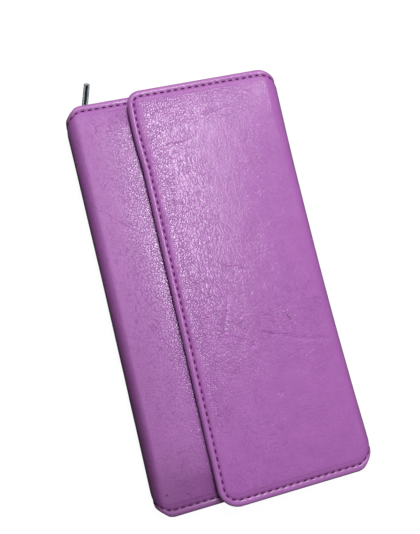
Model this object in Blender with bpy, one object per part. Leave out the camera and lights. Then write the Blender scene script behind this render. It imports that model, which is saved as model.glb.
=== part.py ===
# A long trifold wallet for a cheque book, closed and lying on its back panel.
# The origin is the centre of the back panel's flat outer face. +X runs across to
# the high right fold, +Y along the wallet to the end where the zip pull pokes out,
# and +Z up through the layers. All sizes are in metres.

import math

import bmesh
import bpy
from mathutils import Vector


# The closed wallet, seen from above
body_length = 0.1900
body_width = 0.1016
flap_length = 0.1912
flap_drift = 0.0010
strip_width = 0.0278
flap_edge_slant = 0.0016
panel_overlap = 0.0270
right_fold_radius = 0.0070
left_fold_radius = 0.0055
right_fold_bow = 0.0012
left_fold_bow = 0.0010
fold_end_length = 0.0045
fold_end_pinch = 0.0036
flap_corner_low = 0.0090
flap_corner_high = 0.0060
panel_corner = 0.0060
fold_corner = 0.0010

# The layers of a panel, from the outer skin inwards
leather = 0.0010
foam = 0.0012
board = 0.0010
lining = 0.0006
layer_gap = 0.0003
fold_gap = 0.0003
edge_wall = 0.0018
edge_roll = 0.0020
rim_round = 0.0004
stitch_inset = 0.0034
border_drop = 0.0006
puff_run = 0.0060
crown_run = 0.0240
flap_crown = 0.0007
least_corner = 0.0002

# Pockets on the back panel and inside the flap
pocket_sheet = 0.0006
card_sheet = 0.0005
pocket_end_margin = 0.0070
pocket_fold_margin = 0.0015
sleeve_from_zip = 0.0125
thumb_notch_radius = 0.0110
card_slot_depth = 0.0563
card_step = 0.0090
card_column_gap = 0.0020
flap_pocket_from_snap = 0.0020
vinyl = 0.0003
window_length = 0.0780
window_frame = 0.0060
vinyl_margin = 0.0030

# Magnetic snaps that hold the flap
snap_from_edge = 0.0120
snap_from_end = 0.0290
snap_radius = 0.0070
snap_thickness = 0.0010
snap_round = 0.0003
snap_socket_radius = 0.0042
snap_stud_radius = 0.0026
snap_stud_height = 0.0007
washer_radius = 0.0060
washer_hole = 0.0020
washer_thickness = 0.0008

# Coin pocket and its zip inside the front panel
coin_clearance = 0.0005
coin_depth = 0.0047
coin_sheet = 0.0006
coin_end_margin = 0.0040
coin_fold_margin = 0.0008
coin_edge_margin = 0.0020
coin_corner = 0.0010
zip_from_fold = 0.0068
zip_tape = 0.0005
zip_tape_half = 0.0052
zip_slot_half = 0.0038
chain_start_room = 0.0200
tooth_pitch = 0.0030
tooth_width = 0.0014
tooth_length = 0.0010
bead_width = 0.0009
chain_thickness = 0.0016
chain_half_gap = 0.0006
stop_length = 0.0010
stop_width = 0.0016
stop_thickness = 0.0008
slider_length = 0.0095
slider_half_width = 0.0034
slider_plate = 0.0008
slider_end_room = 0.0024
slider_wedge = 0.0006
slider_wedge_length = 0.0020
bridge_bar = 0.0007
bridge_leg = 0.0010
bridge_width = 0.0016
bridge_room = 0.0012
bridge_inset = 0.0006
ring_thickness = 0.0007
ring_wire = 0.0009
ring_bend_radius = 0.0020
pull_knee_lean = 0.0027
pull_knee_reach = 0.0061
tab_lean = 0.0050
tab_reach = 0.0156
tab_width = 0.0028
tab_thickness = 0.0009
tab_slot = 0.0007
tab_slot_inset = 0.0030
hook_hole = 0.0008
hook_wall = 0.0004
hook_width = 0.0016
cut_overrun = 0.0010

# Shares, counts and plain numbers
field_inset_shares = (1.0, 0.68, 0.42, 0.25)
roll_inset_shares = (1.0, 0.55, 0.2, 0.0)
fold_inset_share = 0.12
tab_round_share = 0.6
end_section_shares = (1.0, 0.85, 0.6, 0.3, 0.0)
middle_section_shares = (0.7, 0.4, 0.0)
corner_steps = 5
fold_steps = 6
circle_steps = 24
notch_steps = 10
card_layers = 3
sharp_from_degrees = 35

# Colours, with roughness and metallic value, as the photograph shows them
LEATHER = ("orchid_leather", (0.43, 0.15, 0.48), 0.38, 0.0)
LINING = ("plum_lining", (0.16, 0.045, 0.17), 0.75, 0.0)
BOARD = ("grey_board", (0.32, 0.30, 0.28), 0.9, 0.0)
FOAM = ("white_foam", (0.75, 0.73, 0.68), 0.95, 0.0)
METAL = ("nickel", (0.42, 0.42, 0.44), 0.3, 1.0)
TAPE = ("zip_tape", (0.12, 0.04, 0.13), 0.85, 0.0)
VINYL = ("clear_vinyl", (0.80, 0.82, 0.84), 0.12, 0.0)


# Heights of the layers, worked out from the back panel's outer face upwards
half_length = body_length / 2
half_width = body_width / 2
back_thickness = leather + layer_gap + board + layer_gap + lining
padded_thickness = back_thickness + foam + layer_gap
sleeve_low = back_thickness + layer_gap
card_low = sleeve_low + pocket_sheet + layer_gap
card_rise = card_sheet + layer_gap
coin_low = card_low + card_layers * card_rise - layer_gap + coin_clearance
coin_rim = coin_low + coin_sheet + coin_depth
front_inner = coin_rim + layer_gap
front_outer = front_inner + padded_thickness
socket_low = front_outer + layer_gap
stud_low = socket_low + snap_thickness + layer_gap
flap_inner = stud_low + snap_thickness + layer_gap
flap_outer = flap_inner + padded_thickness
vinyl_low = flap_inner - layer_gap - vinyl
flap_pocket_low = vinyl_low - layer_gap - card_sheet

# Where the flat panels end and the folds begin, and the crease each fold turns on.
# A corner arc that straightens out without stretching turns on a line near its middle.
right_fold_x = half_width - right_fold_radius
left_fold_x = -half_width + left_fold_radius
arc_share = math.pi / 4
right_crease_x = right_fold_x + right_fold_radius * arc_share
right_crease_depth = right_fold_radius * (1 - arc_share)
left_crease_x = left_fold_x - left_fold_radius * arc_share
left_crease_depth = left_fold_radius * (1 - arc_share)

# Where the edges, snaps, pocket mouths and the zip lie between the two folds
flap_edge_x = -half_width + strip_width
front_edge_x = flap_edge_x + panel_overlap
snap_x = flap_edge_x + snap_from_edge
snap_y = half_length - snap_from_end
pocket_fold_x = right_fold_x - pocket_fold_margin
flap_pocket_mouth_x = snap_x + snap_radius + flap_pocket_from_snap
first_card_mouth_x = pocket_fold_x - card_slot_depth
zip_x = left_fold_x + zip_from_fold
sleeve_mouth_x = zip_x + sleeve_from_zip
slider_end_y = half_length - coin_end_margin - coin_sheet - slider_end_room
chain_start_y = -half_length + chain_start_room

# Heights of the slider, around the middle of the chain, and where its pull turns
chain_middle = coin_low + coin_sheet + layer_gap + zip_tape / 2
slider_low = chain_middle - chain_thickness / 2 - layer_gap - slider_plate
slider_high = chain_middle + chain_thickness / 2 + layer_gap + slider_plate
slider_start_y = slider_end_y - slider_length
bridge_low = slider_low - bridge_room - bridge_bar
ring_low = slider_low - (bridge_room + ring_thickness) / 2
swivel_y = slider_end_y - bridge_inset - bridge_leg / 2
pull_knee_x = zip_x - pull_knee_lean
pull_knee_y = swivel_y + pull_knee_reach
tab_tip_x = pull_knee_x + tab_lean
tab_tip_y = pull_knee_y + tab_reach


def clear_scene():
    """Remove every object, so that the script can be run again in an open file."""
    for old in list(bpy.data.objects):
        bpy.data.objects.remove(old, do_unlink=True)


def material(spec):
    """Return the Principled material for a named finish, made once."""
    name, colour, roughness, metallic = spec
    found = bpy.data.materials.get(name)
    if found:
        return found
    made = bpy.data.materials.new(name)
    made.use_nodes = True
    shader = made.node_tree.nodes["Principled BSDF"]
    shader.inputs["Base Color"].default_value = (*colour, 1.0)
    shader.inputs["Roughness"].default_value = roughness
    shader.inputs["Metallic"].default_value = metallic
    return made


def add_axis(name, point, parent=None):
    """An empty on a joint's axis, which carries the pieces that move with it."""
    empty = bpy.data.objects.new(name, None)
    bpy.context.scene.collection.objects.link(empty)
    empty["point"] = point
    empty.parent = parent
    start = Vector(parent["point"]) if parent else Vector()
    empty.location = Vector(point) - start
    return empty


def add_piece(name, shape, finish, axis=None, smooth=False):
    """Turn a finished bmesh into a named object that hangs on its joint's empty."""
    bmesh.ops.recalc_face_normals(shape, faces=shape.faces)
    if axis:
        bmesh.ops.translate(shape, verts=shape.verts, vec=-Vector(axis["point"]))
    mesh = bpy.data.meshes.new(name)
    shape.to_mesh(mesh)
    shape.free()
    mesh.materials.append(material(finish))
    if smooth:
        mesh.shade_smooth()
        mesh.set_sharp_from_angle(angle=math.radians(sharp_from_degrees))
    piece = bpy.data.objects.new(name, mesh)
    bpy.context.scene.collection.objects.link(piece)
    piece.parent = axis
    return piece


def add_cutter(name, shape, axis=None):
    """A guide object for a Boolean, which isn't a piece of the wallet."""
    cutter = add_piece(name, shape, BOARD, axis)
    cutter.hide_render = True
    cutter.display_type = "WIRE"
    return cutter


def combine(piece, tool, operation):
    """Cut a piece by a tool object, or join the tool object to it."""
    step = piece.modifiers.new(tool.name, "BOOLEAN")
    step.operation = operation
    step.solver = "EXACT"
    step.object = tool


def rounded_outline(corners, radii, insets):
    """Four corners, anticlockwise, with each side moved in by its inset and rounded."""
    spots = [Vector(corner) for corner in corners]
    outline = []
    for i, here in enumerate(spots):
        arriving = (here - spots[i - 1]).normalized()
        leaving = (spots[(i + 1) % len(spots)] - here).normalized()
        cross = arriving.x * leaving.y - arriving.y * leaving.x
        corner = here - arriving * (insets[i] / cross) + leaving * (insets[i - 1] / cross)
        radius = max(radii[i] - min(insets[i], insets[i - 1]), least_corner)
        turn = math.acos(max(-1.0, min(1.0, arriving.dot(leaving))))
        normal = Vector((-arriving.y, arriving.x))
        centre = corner - arriving * (radius * math.tan(turn / 2)) + normal * radius
        start = math.atan2(-normal.y, -normal.x)
        for step in range(corner_steps + 1):
            angle = start + turn * step / corner_steps
            outline.append(centre + Vector((math.cos(angle), math.sin(angle))) * radius)
    return outline


def box_outline(low_x, low_y, high_x, high_y, radius=0.0):
    """A rectangle, anticlockwise from its lower right corner, with rounded corners."""
    corners = ((high_x, low_y), (high_x, high_y), (low_x, high_y), (low_x, low_y))
    return rounded_outline(corners, (radius,) * 4, (0.0,) * 4)


def circle_outline(x, y, radius, steps=circle_steps):
    """A circle as a ring of points."""
    turns = [2 * math.pi * step / steps for step in range(steps)]
    return [Vector((x + radius * math.cos(a), y + radius * math.sin(a))) for a in turns]


def loft(shape, rings, closed=False):
    """Bridge a stack of rings, given as (outline, height), and cap or close its ends."""
    loops = [[shape.verts.new((p[0], p[1], z)) for p in outline] for outline, z in rings]
    pairs = list(zip(loops, loops[1:]))
    if closed:
        pairs.append((loops[-1], loops[0]))
    for lower, upper in pairs:
        count = len(lower)
        for i in range(count):
            j = (i + 1) % count
            shape.faces.new((lower[i], lower[j], upper[j], upper[i]))
    if not closed:
        shape.faces.new(list(reversed(loops[0])))
        shape.faces.new(loops[-1])
    return shape


def slab(outline, low, high):
    """A flat sheet cut to an outline."""
    return loft(bmesh.new(), [(outline, low), (outline, high)])


def block(low, high):
    """A plain rectangular block between two opposite corners."""
    shape = bmesh.new()
    middle = (Vector(low) + Vector(high)) / 2
    size = Vector(high) - Vector(low)
    bmesh.ops.create_cube(shape, size=1.0)
    bmesh.ops.scale(shape, verts=shape.verts, vec=size)
    bmesh.ops.translate(shape, verts=shape.verts, vec=middle)
    return shape


def ease(share):
    """A smooth step from 0 to 1."""
    held = max(0.0, min(1.0, share))
    return held * held * (3 - 2 * held)


class Panel:
    """One stiff panel of the wallet: where it lies, and which of its sides are folds."""

    def __init__(self, name, corners, radii, folds, outer, inward, padding, crown, axis):
        self.name = name
        self.corners = corners
        self.radii = radii
        self.folds = folds
        self.outer = outer
        self.inward = inward
        self.padding = padding
        self.crown = crown
        self.axis = axis
        self.drop = border_drop if padding else 0.0
        self.core = leather + layer_gap + (padding + layer_gap if padding else 0.0)
        self.thickness = self.core + board + layer_gap + lining

    def outline(self, inset, wall=0.0):
        """The panel's edge moved in by an inset, which counts for less at a fold."""
        past = inset - wall
        insets = [wall + past * (fold_inset_share if fold else 1.0) for fold in self.folds]
        return rounded_outline(self.corners, self.radii, insets)

    def height(self, depth):
        """The height of a layer that lies this deep under the outer skin."""
        return self.outer + self.inward * depth

    def skin_depth(self, inset):
        """How deep the outer skin lies at this distance in from the edge."""
        reach = max(edge_roll - inset, 0.0)
        roll = edge_roll - math.sqrt(edge_roll ** 2 - reach ** 2)
        border = self.drop * (1 - ease((inset - stitch_inset) / puff_run))
        rise = self.crown * ease((inset - stitch_inset) / (crown_run - stitch_inset))
        return roll + border - rise


def skin_insets(least):
    """Distances in from the edge where the skin gets a ring of points, inmost first."""
    insets = [crown_run * share for share in field_inset_shares]
    insets += [stitch_inset]
    insets += [edge_roll * share for share in roll_inset_shares]
    return [inset for inset in insets if inset > least]


def add_cover(panel):
    """The leather shell: a shallow tray whose turned edge stands round the core."""
    rings = [(i, panel.skin_depth(i)) for i in skin_insets(-least_corner)]
    rings += [(0.0, panel.thickness - rim_round), (rim_round, panel.thickness)]
    stack = [(panel.outline(i), panel.height(depth)) for i, depth in rings]
    inner = [(edge_wall, panel.thickness), (edge_wall, panel.skin_depth(edge_wall) + leather)]
    inner += [(i, panel.skin_depth(i) + leather) for i in reversed(skin_insets(edge_roll))]
    stack += [(panel.outline(i, edge_wall), panel.height(depth)) for i, depth in inner]
    return add_piece(panel.name + "_cover", loft(bmesh.new(), stack), LEATHER, panel.axis, True)


def add_foam(panel, hollows):
    """The foam pad under the leather, crowned like it, with room for the snap washers."""
    wall = edge_wall + layer_gap
    top = leather + layer_gap
    rings = [(i, panel.skin_depth(i) + top) for i in skin_insets(edge_roll)]
    rings += [(wall, panel.skin_depth(wall) + top), (wall, top + panel.padding)]
    stack = [(panel.outline(i, wall), panel.height(depth)) for i, depth in rings]
    pad = add_piece(panel.name + "_foam", loft(bmesh.new(), stack), FOAM, panel.axis)
    combine(pad, hollows, "DIFFERENCE")
    return pad


def add_layer(panel, name, finish, depth, thickness):
    """A flat sheet of board or lining inside the tray's turned edge."""
    outline = panel.outline(edge_wall + layer_gap, edge_wall + layer_gap)
    sheet = slab(outline, panel.height(depth), panel.height(depth + thickness))
    return add_piece(panel.name + name, sheet, finish, panel.axis)


def add_panel(panel, hollows=None):
    """Cover, foam, board and lining of one panel."""
    add_cover(panel)
    if panel.padding:
        add_foam(panel, hollows)
    add_layer(panel, "_board", BOARD, panel.core, board)
    add_layer(panel, "_lining", LINING, panel.core + board + layer_gap, lining)


def fold_profile(radius, thickness, low, high):
    """The C-shaped section of a folded sheet, as (distance out, height) from the fold line."""
    outer = []
    inner = []
    for points, reach in ((outer, radius), (inner, radius - thickness)):
        start = math.asin(fold_gap / reach)
        turns = [start + (math.pi / 2 - start) * s / fold_steps for s in range(fold_steps + 1)]
        lower = [(reach * math.sin(a), low + radius - reach * math.cos(a)) for a in turns]
        upper = [(out, low + high - height) for out, height in reversed(lower)]
        points += lower + upper
    return outer + list(reversed(inner))


def fold_sections(length, bow, pinch):
    """Places along a fold, as (Y, how far its wall is drawn in there)."""
    half = length / 2
    ends = []
    for share in end_section_shares:
        run = fold_end_length * share
        ends.append((half - fold_end_length + run, pinch * (1 - math.sqrt(1 - share ** 2))))
    middles = [((half - fold_end_length) * share, 0.0) for share in middle_section_shares]
    sections = ends + middles
    sections = [(y, drawn + bow * (1 - (y / half) ** 2)) for y, drawn in sections]
    mirrored = [(-y, drawn) for y, drawn in reversed(sections) if y > 0]
    return sections + mirrored


def add_fold_sheet(name, finish, axis, fold_x, side, profile, sections, radius):
    """Loft a C-shaped section along the wallet, drawn in where the fold is drawn in."""
    shape = bmesh.new()
    loops = []
    for y, drawn in sections:
        keep = 1 - drawn / radius
        loops.append([shape.verts.new((fold_x + side * out * keep, y, z)) for out, z in profile])
    for near, far in zip(loops, loops[1:]):
        for i in range(len(profile)):
            j = (i + 1) % len(profile)
            shape.faces.new((near[i], near[j], far[j], far[i]))
    shape.faces.new(list(reversed(loops[0])))
    shape.faces.new(loops[-1])
    return add_piece(name, shape, finish, axis, True)


def add_spine(name, axis, fold_x, side, radius, bow, low_core, high_core, high):
    """A fold's leather, stiffening strip and lining, between two panels."""
    cover = fold_profile(radius, leather, 0.0, high)
    sections = fold_sections(body_length, bow, fold_end_pinch)
    add_fold_sheet(name + "_cover", LEATHER, axis, fold_x, side, cover, sections, radius)
    strip_out = (radius - leather) * (1 - bow / radius) - layer_gap
    strip_in = strip_out - board
    half = half_length - pocket_end_margin
    ends = sorted((fold_x + side * strip_out, fold_x + side * strip_in))
    strip = block((ends[0], -half, radius), (ends[1], half, high - radius))
    add_piece(name + "_board", strip, BOARD, axis)
    reach = strip_in - layer_gap
    sheet = fold_profile(reach, lining, low_core, high_core)
    straight = [(half, 0.0), (-half, 0.0)]
    add_fold_sheet(name + "_lining", LINING, axis, fold_x, side, sheet, straight, reach)


def add_snap_socket(name, y, axis):
    """The lower half of a magnetic snap: a shallow round dish on the front panel."""
    top = socket_low + snap_thickness
    rings = [
        (snap_radius - snap_round, socket_low),
        (snap_radius, socket_low + snap_round),
        (snap_radius, top - snap_round),
        (snap_radius - snap_round, top),
        (snap_socket_radius + snap_round, top),
        (snap_socket_radius, top - snap_round),
        (snap_socket_radius, socket_low + snap_round),
    ]
    stack = [(circle_outline(snap_x, y, radius), z) for radius, z in rings]
    add_piece(name, loft(bmesh.new(), stack), METAL, axis, True)


def add_snap_stud(name, y, axis):
    """The upper half of a magnetic snap: a disc on the flap's lining with a low stud."""
    top = stud_low + snap_thickness
    rings = [
        (snap_radius - snap_round, top),
        (snap_radius, top - snap_round),
        (snap_radius, stud_low + snap_round),
        (snap_radius - snap_round, stud_low),
        (snap_stud_radius + snap_round, stud_low),
        (snap_stud_radius, stud_low - snap_round),
        (snap_stud_radius - snap_round, stud_low - snap_stud_height),
    ]
    stack = [(circle_outline(snap_x, y, radius), z) for radius, z in rings]
    add_piece(name, loft(bmesh.new(), stack), METAL, axis, True)


def add_washer(name, y, low, axis):
    """The round plate inside a panel that a snap's prongs are bent over."""
    high = low + washer_thickness
    rings = [(washer_hole, low), (washer_radius, low), (washer_radius, high), (washer_hole, high)]
    stack = [(circle_outline(snap_x, y, radius), z) for radius, z in rings]
    add_piece(name, loft(bmesh.new(), stack, closed=True), METAL, axis)


def sleeve_outline():
    """The cheque sleeve's outline, with a round thumb notch in the middle of its mouth."""
    end_y = half_length - pocket_end_margin
    corners = [(pocket_fold_x, -end_y), (pocket_fold_x, end_y), (sleeve_mouth_x, end_y)]
    turns = [math.pi * step / notch_steps for step in range(notch_steps + 1)]
    notch = [
        (
            sleeve_mouth_x + thumb_notch_radius * math.sin(a),
            thumb_notch_radius * math.cos(a),
        )
        for a in turns
    ]
    return corners + notch + [(sleeve_mouth_x, -end_y)]


def add_back_pockets():
    """The cheque sleeve, and two columns of card slots that step towards the fold."""
    sleeve = slab(sleeve_outline(), sleeve_low, sleeve_low + pocket_sheet)
    add_piece("cheque_sleeve", sleeve, LEATHER)
    end_y = half_length - pocket_end_margin
    inner_y = card_column_gap / 2
    for column, low_y, high_y in (("lower", -end_y, -inner_y), ("upper", inner_y, end_y)):
        for layer in range(card_layers):
            low = card_low + layer * card_rise
            mouth_x = first_card_mouth_x + layer * card_step
            outline = box_outline(mouth_x, low_y, pocket_fold_x, high_y, least_corner)
            name = f"{column}_card_slot_{layer + 1}"
            add_piece(name, slab(outline, low, low + card_sheet), LEATHER)


def add_flap_pocket(axis):
    """The slip pocket inside the flap, with a framed window over clear vinyl."""
    end_y = half_length - pocket_end_margin
    outline = box_outline(flap_pocket_mouth_x, -end_y, pocket_fold_x, end_y, least_corner)
    sheet = slab(outline, flap_pocket_low, flap_pocket_low + card_sheet)
    pocket = add_piece("flap_pocket", sheet, LEATHER, axis)
    window = (
        flap_pocket_mouth_x + window_frame,
        -window_length / 2,
        pocket_fold_x - window_frame,
        window_length / 2,
    )
    hole = box_outline(*window, panel_corner - vinyl_margin)
    low = flap_pocket_low - cut_overrun
    high = flap_pocket_low + card_sheet + cut_overrun
    combine(pocket, add_cutter("window_cutter", slab(hole, low, high), axis), "DIFFERENCE")
    pane = box_outline(
        window[0] - vinyl_margin,
        window[1] - vinyl_margin,
        window[2] + vinyl_margin,
        window[3] + vinyl_margin,
        panel_corner,
    )
    add_piece("window_vinyl", slab(pane, vinyl_low, vinyl_low + vinyl), VINYL, axis)


def add_coin_pocket(axis):
    """A shallow pocket of lining cloth inside the front panel, slit for the zip."""
    box = (
        left_fold_x + coin_fold_margin,
        -half_length + coin_end_margin,
        front_edge_x - coin_edge_margin,
        half_length - coin_end_margin,
    )
    outer = box_outline(*box, coin_corner)
    room = (box[0] + coin_sheet, box[1] + coin_sheet, box[2] - coin_sheet, box[3] - coin_sheet)
    inner = box_outline(*room, coin_corner - coin_sheet)
    floor = coin_low + coin_sheet
    stack = [(outer, coin_low), (outer, coin_rim), (inner, coin_rim), (inner, floor)]
    pocket = add_piece("coin_pocket", loft(bmesh.new(), stack), LINING, axis)
    slit = block(
        (zip_x - zip_slot_half, box[1] + coin_end_margin, coin_low - cut_overrun),
        (zip_x + zip_slot_half, box[3] - coin_sheet - layer_gap, floor + cut_overrun),
    )
    combine(pocket, add_cutter("zip_slit_cutter", slit, axis), "DIFFERENCE")
    return box


def chain_outline(side, start, end, offset):
    """The comb of teeth on one tape: a bead with a tooth at every pitch."""
    inner = zip_x + side * chain_half_gap
    bead = inner + side * tooth_length
    outer = bead + side * bead_width
    points = [(outer, start), (bead, start)]
    y = start + offset
    while y + tooth_width < end:
        points += [(bead, y), (inner, y), (inner, y + tooth_width), (bead, y + tooth_width)]
        y += tooth_pitch
    points += [(bead, end), (outer, end)]
    return points


def add_zip_tapes(axis, pocket_box):
    """Two tapes above the slit, each with its row of teeth along the inner edge."""
    tape_low = coin_low + coin_sheet + layer_gap
    end_y = pocket_box[3] - coin_sheet - layer_gap
    start_y = pocket_box[1] + coin_sheet + layer_gap
    bead_edge = chain_half_gap + tooth_length + bead_width / 2
    for name, side in (("left", -1), ("right", 1)):
        edges = sorted((zip_x + side * bead_edge, zip_x + side * zip_tape_half))
        tape = block((edges[0], start_y, tape_low), (edges[1], end_y, tape_low + zip_tape))
        piece = add_piece("zip_tape_" + name, tape, TAPE, axis)
        offset = tooth_pitch / 2 + (tooth_pitch / 2 if side > 0 else 0.0)
        comb = chain_outline(side, chain_start_y, slider_end_y, offset)
        low = chain_middle - chain_thickness / 2
        teeth = slab(comb, low, low + chain_thickness)
        combine(piece, add_cutter("zip_teeth_" + name, teeth, axis), "UNION")


def add_zip_stops(axis):
    """Small clamps past both ends of the chain, which keep the slider on it."""
    low = coin_low + coin_sheet + layer_gap + zip_tape + layer_gap
    high = low + stop_thickness
    near = slider_end_y + layer_gap + stop_length
    for name, side in (("left", -1), ("right", 1)):
        edges = sorted((
            zip_x + side * (chain_half_gap + tooth_length),
            zip_x + side * (chain_half_gap + tooth_length + stop_width),
        ))
        stop = block((edges[0], near, low), (edges[1], near + stop_length, high))
        add_piece("zip_top_stop_" + name, stop, METAL, axis)
    reach = chain_half_gap + tooth_length + stop_width
    end = chain_start_y - stop_length
    stop = block((zip_x - reach, end - stop_length, low), (zip_x + reach, end, high))
    add_piece("zip_bottom_stop", stop, METAL, axis)


def add_slider(axis):
    """Two plates joined by a thin wedge, with a bridge underneath that holds the pull."""
    half = slider_half_width
    low_plate = block(
        (zip_x - half, slider_start_y, slider_low),
        (zip_x + half, slider_end_y, slider_low + slider_plate),
    )
    piece = add_piece("zip_slider", low_plate, METAL, axis)
    high_plate = block(
        (zip_x - half, slider_start_y, slider_high - slider_plate),
        (zip_x + half, slider_end_y, slider_high),
    )
    wedge = block(
        (zip_x - slider_wedge / 2, slider_end_y - slider_wedge_length, slider_low),
        (zip_x + slider_wedge / 2, slider_end_y - layer_gap, slider_high),
    )
    bridge_start = slider_start_y + bridge_inset
    bridge_end = slider_end_y - bridge_inset
    bridge = block(
        (zip_x - bridge_width / 2, bridge_start, bridge_low),
        (zip_x + bridge_width / 2, bridge_end, slider_low + slider_plate / 2),
    )
    arch = block(
        (zip_x - bridge_width, bridge_start + bridge_leg, bridge_low + bridge_bar),
        (zip_x + bridge_width, bridge_end - bridge_leg, slider_low),
    )
    bridge_guide = add_cutter("bridge_guide", bridge, axis)
    combine(bridge_guide, add_cutter("bridge_arch_cutter", arch, axis), "DIFFERENCE")
    combine(piece, add_cutter("wedge_guide", wedge, axis), "UNION")
    combine(piece, add_cutter("high_plate_guide", high_plate, axis), "UNION")
    combine(piece, bridge_guide, "UNION")


def stadium_outline(start, end, radius):
    """A long round-ended loop about two centres."""
    along = (end - start).normalized()
    heading = math.atan2(along.y, along.x)
    half_steps = circle_steps // 2
    outline = []
    for centre, first in ((end, heading - math.pi / 2), (start, heading + math.pi / 2)):
        for step in range(half_steps + 1):
            angle = first + math.pi * step / half_steps
            outline.append(centre + Vector((math.cos(angle), math.sin(angle))) * radius)
    return outline


def add_pull_ring(axis):
    """A flat oval link round the bridge's front leg, which leans out to the left."""
    pivot = Vector((zip_x, swivel_y))
    knee = Vector((pull_knee_x, pull_knee_y))
    outer = stadium_outline(pivot, knee, ring_bend_radius + ring_wire / 2)
    inner = stadium_outline(pivot, knee, ring_bend_radius - ring_wire / 2)
    high = ring_low + ring_thickness
    stack = [(outer, ring_low), (outer, high), (inner, high), (inner, ring_low)]
    add_piece("pull_ring", loft(bmesh.new(), stack, closed=True), METAL, axis, True)


def add_pull_tab(axis):
    """A slotted metal tab hooked on the ring, whose tip shows past the wallet's end."""
    knee = Vector((pull_knee_x, pull_knee_y))
    tip = Vector((tab_tip_x, tab_tip_y))
    along = (tip - knee).normalized()
    across = Vector((along.y, -along.x))
    middle = ring_low + ring_thickness / 2
    eye = knee + along * ring_bend_radius
    root = eye + along * (hook_hole + hook_wall / 2)
    half = tab_width / 2

    def strip(start, end, side):
        corners = (start + across * side, end + across * side,
                   end - across * side, start - across * side)
        return rounded_outline(corners, (side * tab_round_share,) * 4, (0.0,) * 4)

    low = middle - tab_thickness / 2
    plate = slab(strip(root, tip, half), low, low + tab_thickness)
    piece = add_piece("pull_tab", plate, METAL, axis)
    slot = strip(root + along * tab_slot_inset, tip - along * tab_slot_inset / 2, tab_slot / 2)
    cut = slab(slot, low - cut_overrun, low + tab_thickness + cut_overrun)
    combine(piece, add_cutter("tab_slot_cutter", cut, axis), "DIFFERENCE")
    hook = bmesh.new()
    loops = []
    for radius, side in ((hook_hole, -1), (hook_hole + hook_wall, -1),
                         (hook_hole + hook_wall, 1), (hook_hole, 1)):
        loop = []
        for spot in circle_outline(0.0, 0.0, radius, circle_steps // 2):
            flat = eye + along * spot.x + across * (side * hook_width / 2)
            loop.append(hook.verts.new((flat.x, flat.y, middle + spot.y)))
        loops.append(loop)
    for near, far in zip(loops, loops[1:] + loops[:1]):
        for i in range(len(near)):
            j = (i + 1) % len(near)
            hook.faces.new((near[i], near[j], far[j], far[i]))
    combine(piece, add_cutter("hook_guide", hook, axis), "UNION")


def build():
    """Put the wallet together, from the back panel out to the flap and the zip pull."""
    clear_scene()
    high_y = half_length
    right_axis = add_axis("right_spine_axis", (right_crease_x, 0.0, right_crease_depth))
    flap_crease = (right_crease_x, 0.0, flap_outer - right_crease_depth)
    flap_axis = add_axis("flap_axis", flap_crease, right_axis)
    left_axis = add_axis("left_spine_axis", (left_crease_x, 0.0, left_crease_depth))
    front_crease = (left_crease_x, 0.0, front_outer - left_crease_depth)
    front_axis = add_axis("front_panel_axis", front_crease, left_axis)
    slider_axis = add_axis("zip_slider_axis", (zip_x, slider_end_y, chain_middle), front_axis)
    ring_axis = add_axis("pull_ring_axis", (zip_x, swivel_y, ring_low), slider_axis)
    tab_axis = add_axis("pull_tab_axis", (pull_knee_x, pull_knee_y, ring_low), ring_axis)

    right_end = right_fold_x - fold_gap
    left_end = left_fold_x + fold_gap
    corners = ((right_end, -high_y), (right_end, high_y), (left_end, high_y), (left_end, -high_y))
    radii = (fold_corner,) * 4
    back = Panel("back", corners, radii, (True, False, True, False), 0.0, 1, 0.0, 0.0, None)
    add_panel(back)
    add_back_pockets()

    low_core = back_thickness - lining
    high_core = flap_inner + lining
    add_spine("right_spine", right_axis, right_fold_x, 1, right_fold_radius, right_fold_bow,
              low_core, high_core, flap_outer)
    high_core = front_inner + lining
    add_spine("left_spine", left_axis, left_fold_x, -1, left_fold_radius, left_fold_bow,
              low_core, high_core, front_outer)

    hollow = bmesh.new()
    for y in (-snap_y, snap_y):
        outline = circle_outline(snap_x, y, washer_radius + layer_gap)
        loft(hollow, [(outline, front_inner), (outline, flap_outer + cut_overrun)])
    hollows = add_cutter("washer_hollows", hollow)

    corners = ((front_edge_x, -high_y), (front_edge_x, high_y),
               (left_end, high_y), (left_end, -high_y))
    radii = (panel_corner, panel_corner, fold_corner, fold_corner)
    front = Panel("front_panel", corners, radii, (False, False, True, False),
                  front_outer, -1, foam, 0.0, front_axis)
    add_panel(front, hollows)

    top_y = flap_length / 2 - flap_drift
    low_y = -flap_length / 2 - flap_drift
    corners = ((right_end, low_y), (right_end, top_y),
               (flap_edge_x + flap_edge_slant / 2, top_y),
               (flap_edge_x - flap_edge_slant / 2, low_y))
    radii = (fold_corner, fold_corner, flap_corner_high, flap_corner_low)
    flap = Panel("flap", corners, radii, (True, False, False, False),
                 flap_outer, -1, foam, flap_crown, flap_axis)
    add_panel(flap, hollows)
    add_flap_pocket(flap_axis)

    for place, y in (("lower", -snap_y), ("upper", snap_y)):
        add_snap_socket(place + "_snap_socket", y, front_axis)
        add_snap_stud(place + "_snap_stud", y, flap_axis)
        washer_depth = front.core - layer_gap
        add_washer(place + "_socket_washer", y, front.height(washer_depth), front_axis)
        add_washer(place + "_stud_washer", y, flap.height(washer_depth), flap_axis)

    pocket_box = add_coin_pocket(front_axis)
    add_zip_tapes(front_axis, pocket_box)
    add_zip_stops(front_axis)
    add_slider(slider_axis)
    add_pull_ring(ring_axis)
    add_pull_tab(tab_axis)


build()
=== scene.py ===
import math

import bmesh
import bpy
import numpy as np
from mathutils import Matrix, Vector, noise

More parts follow.
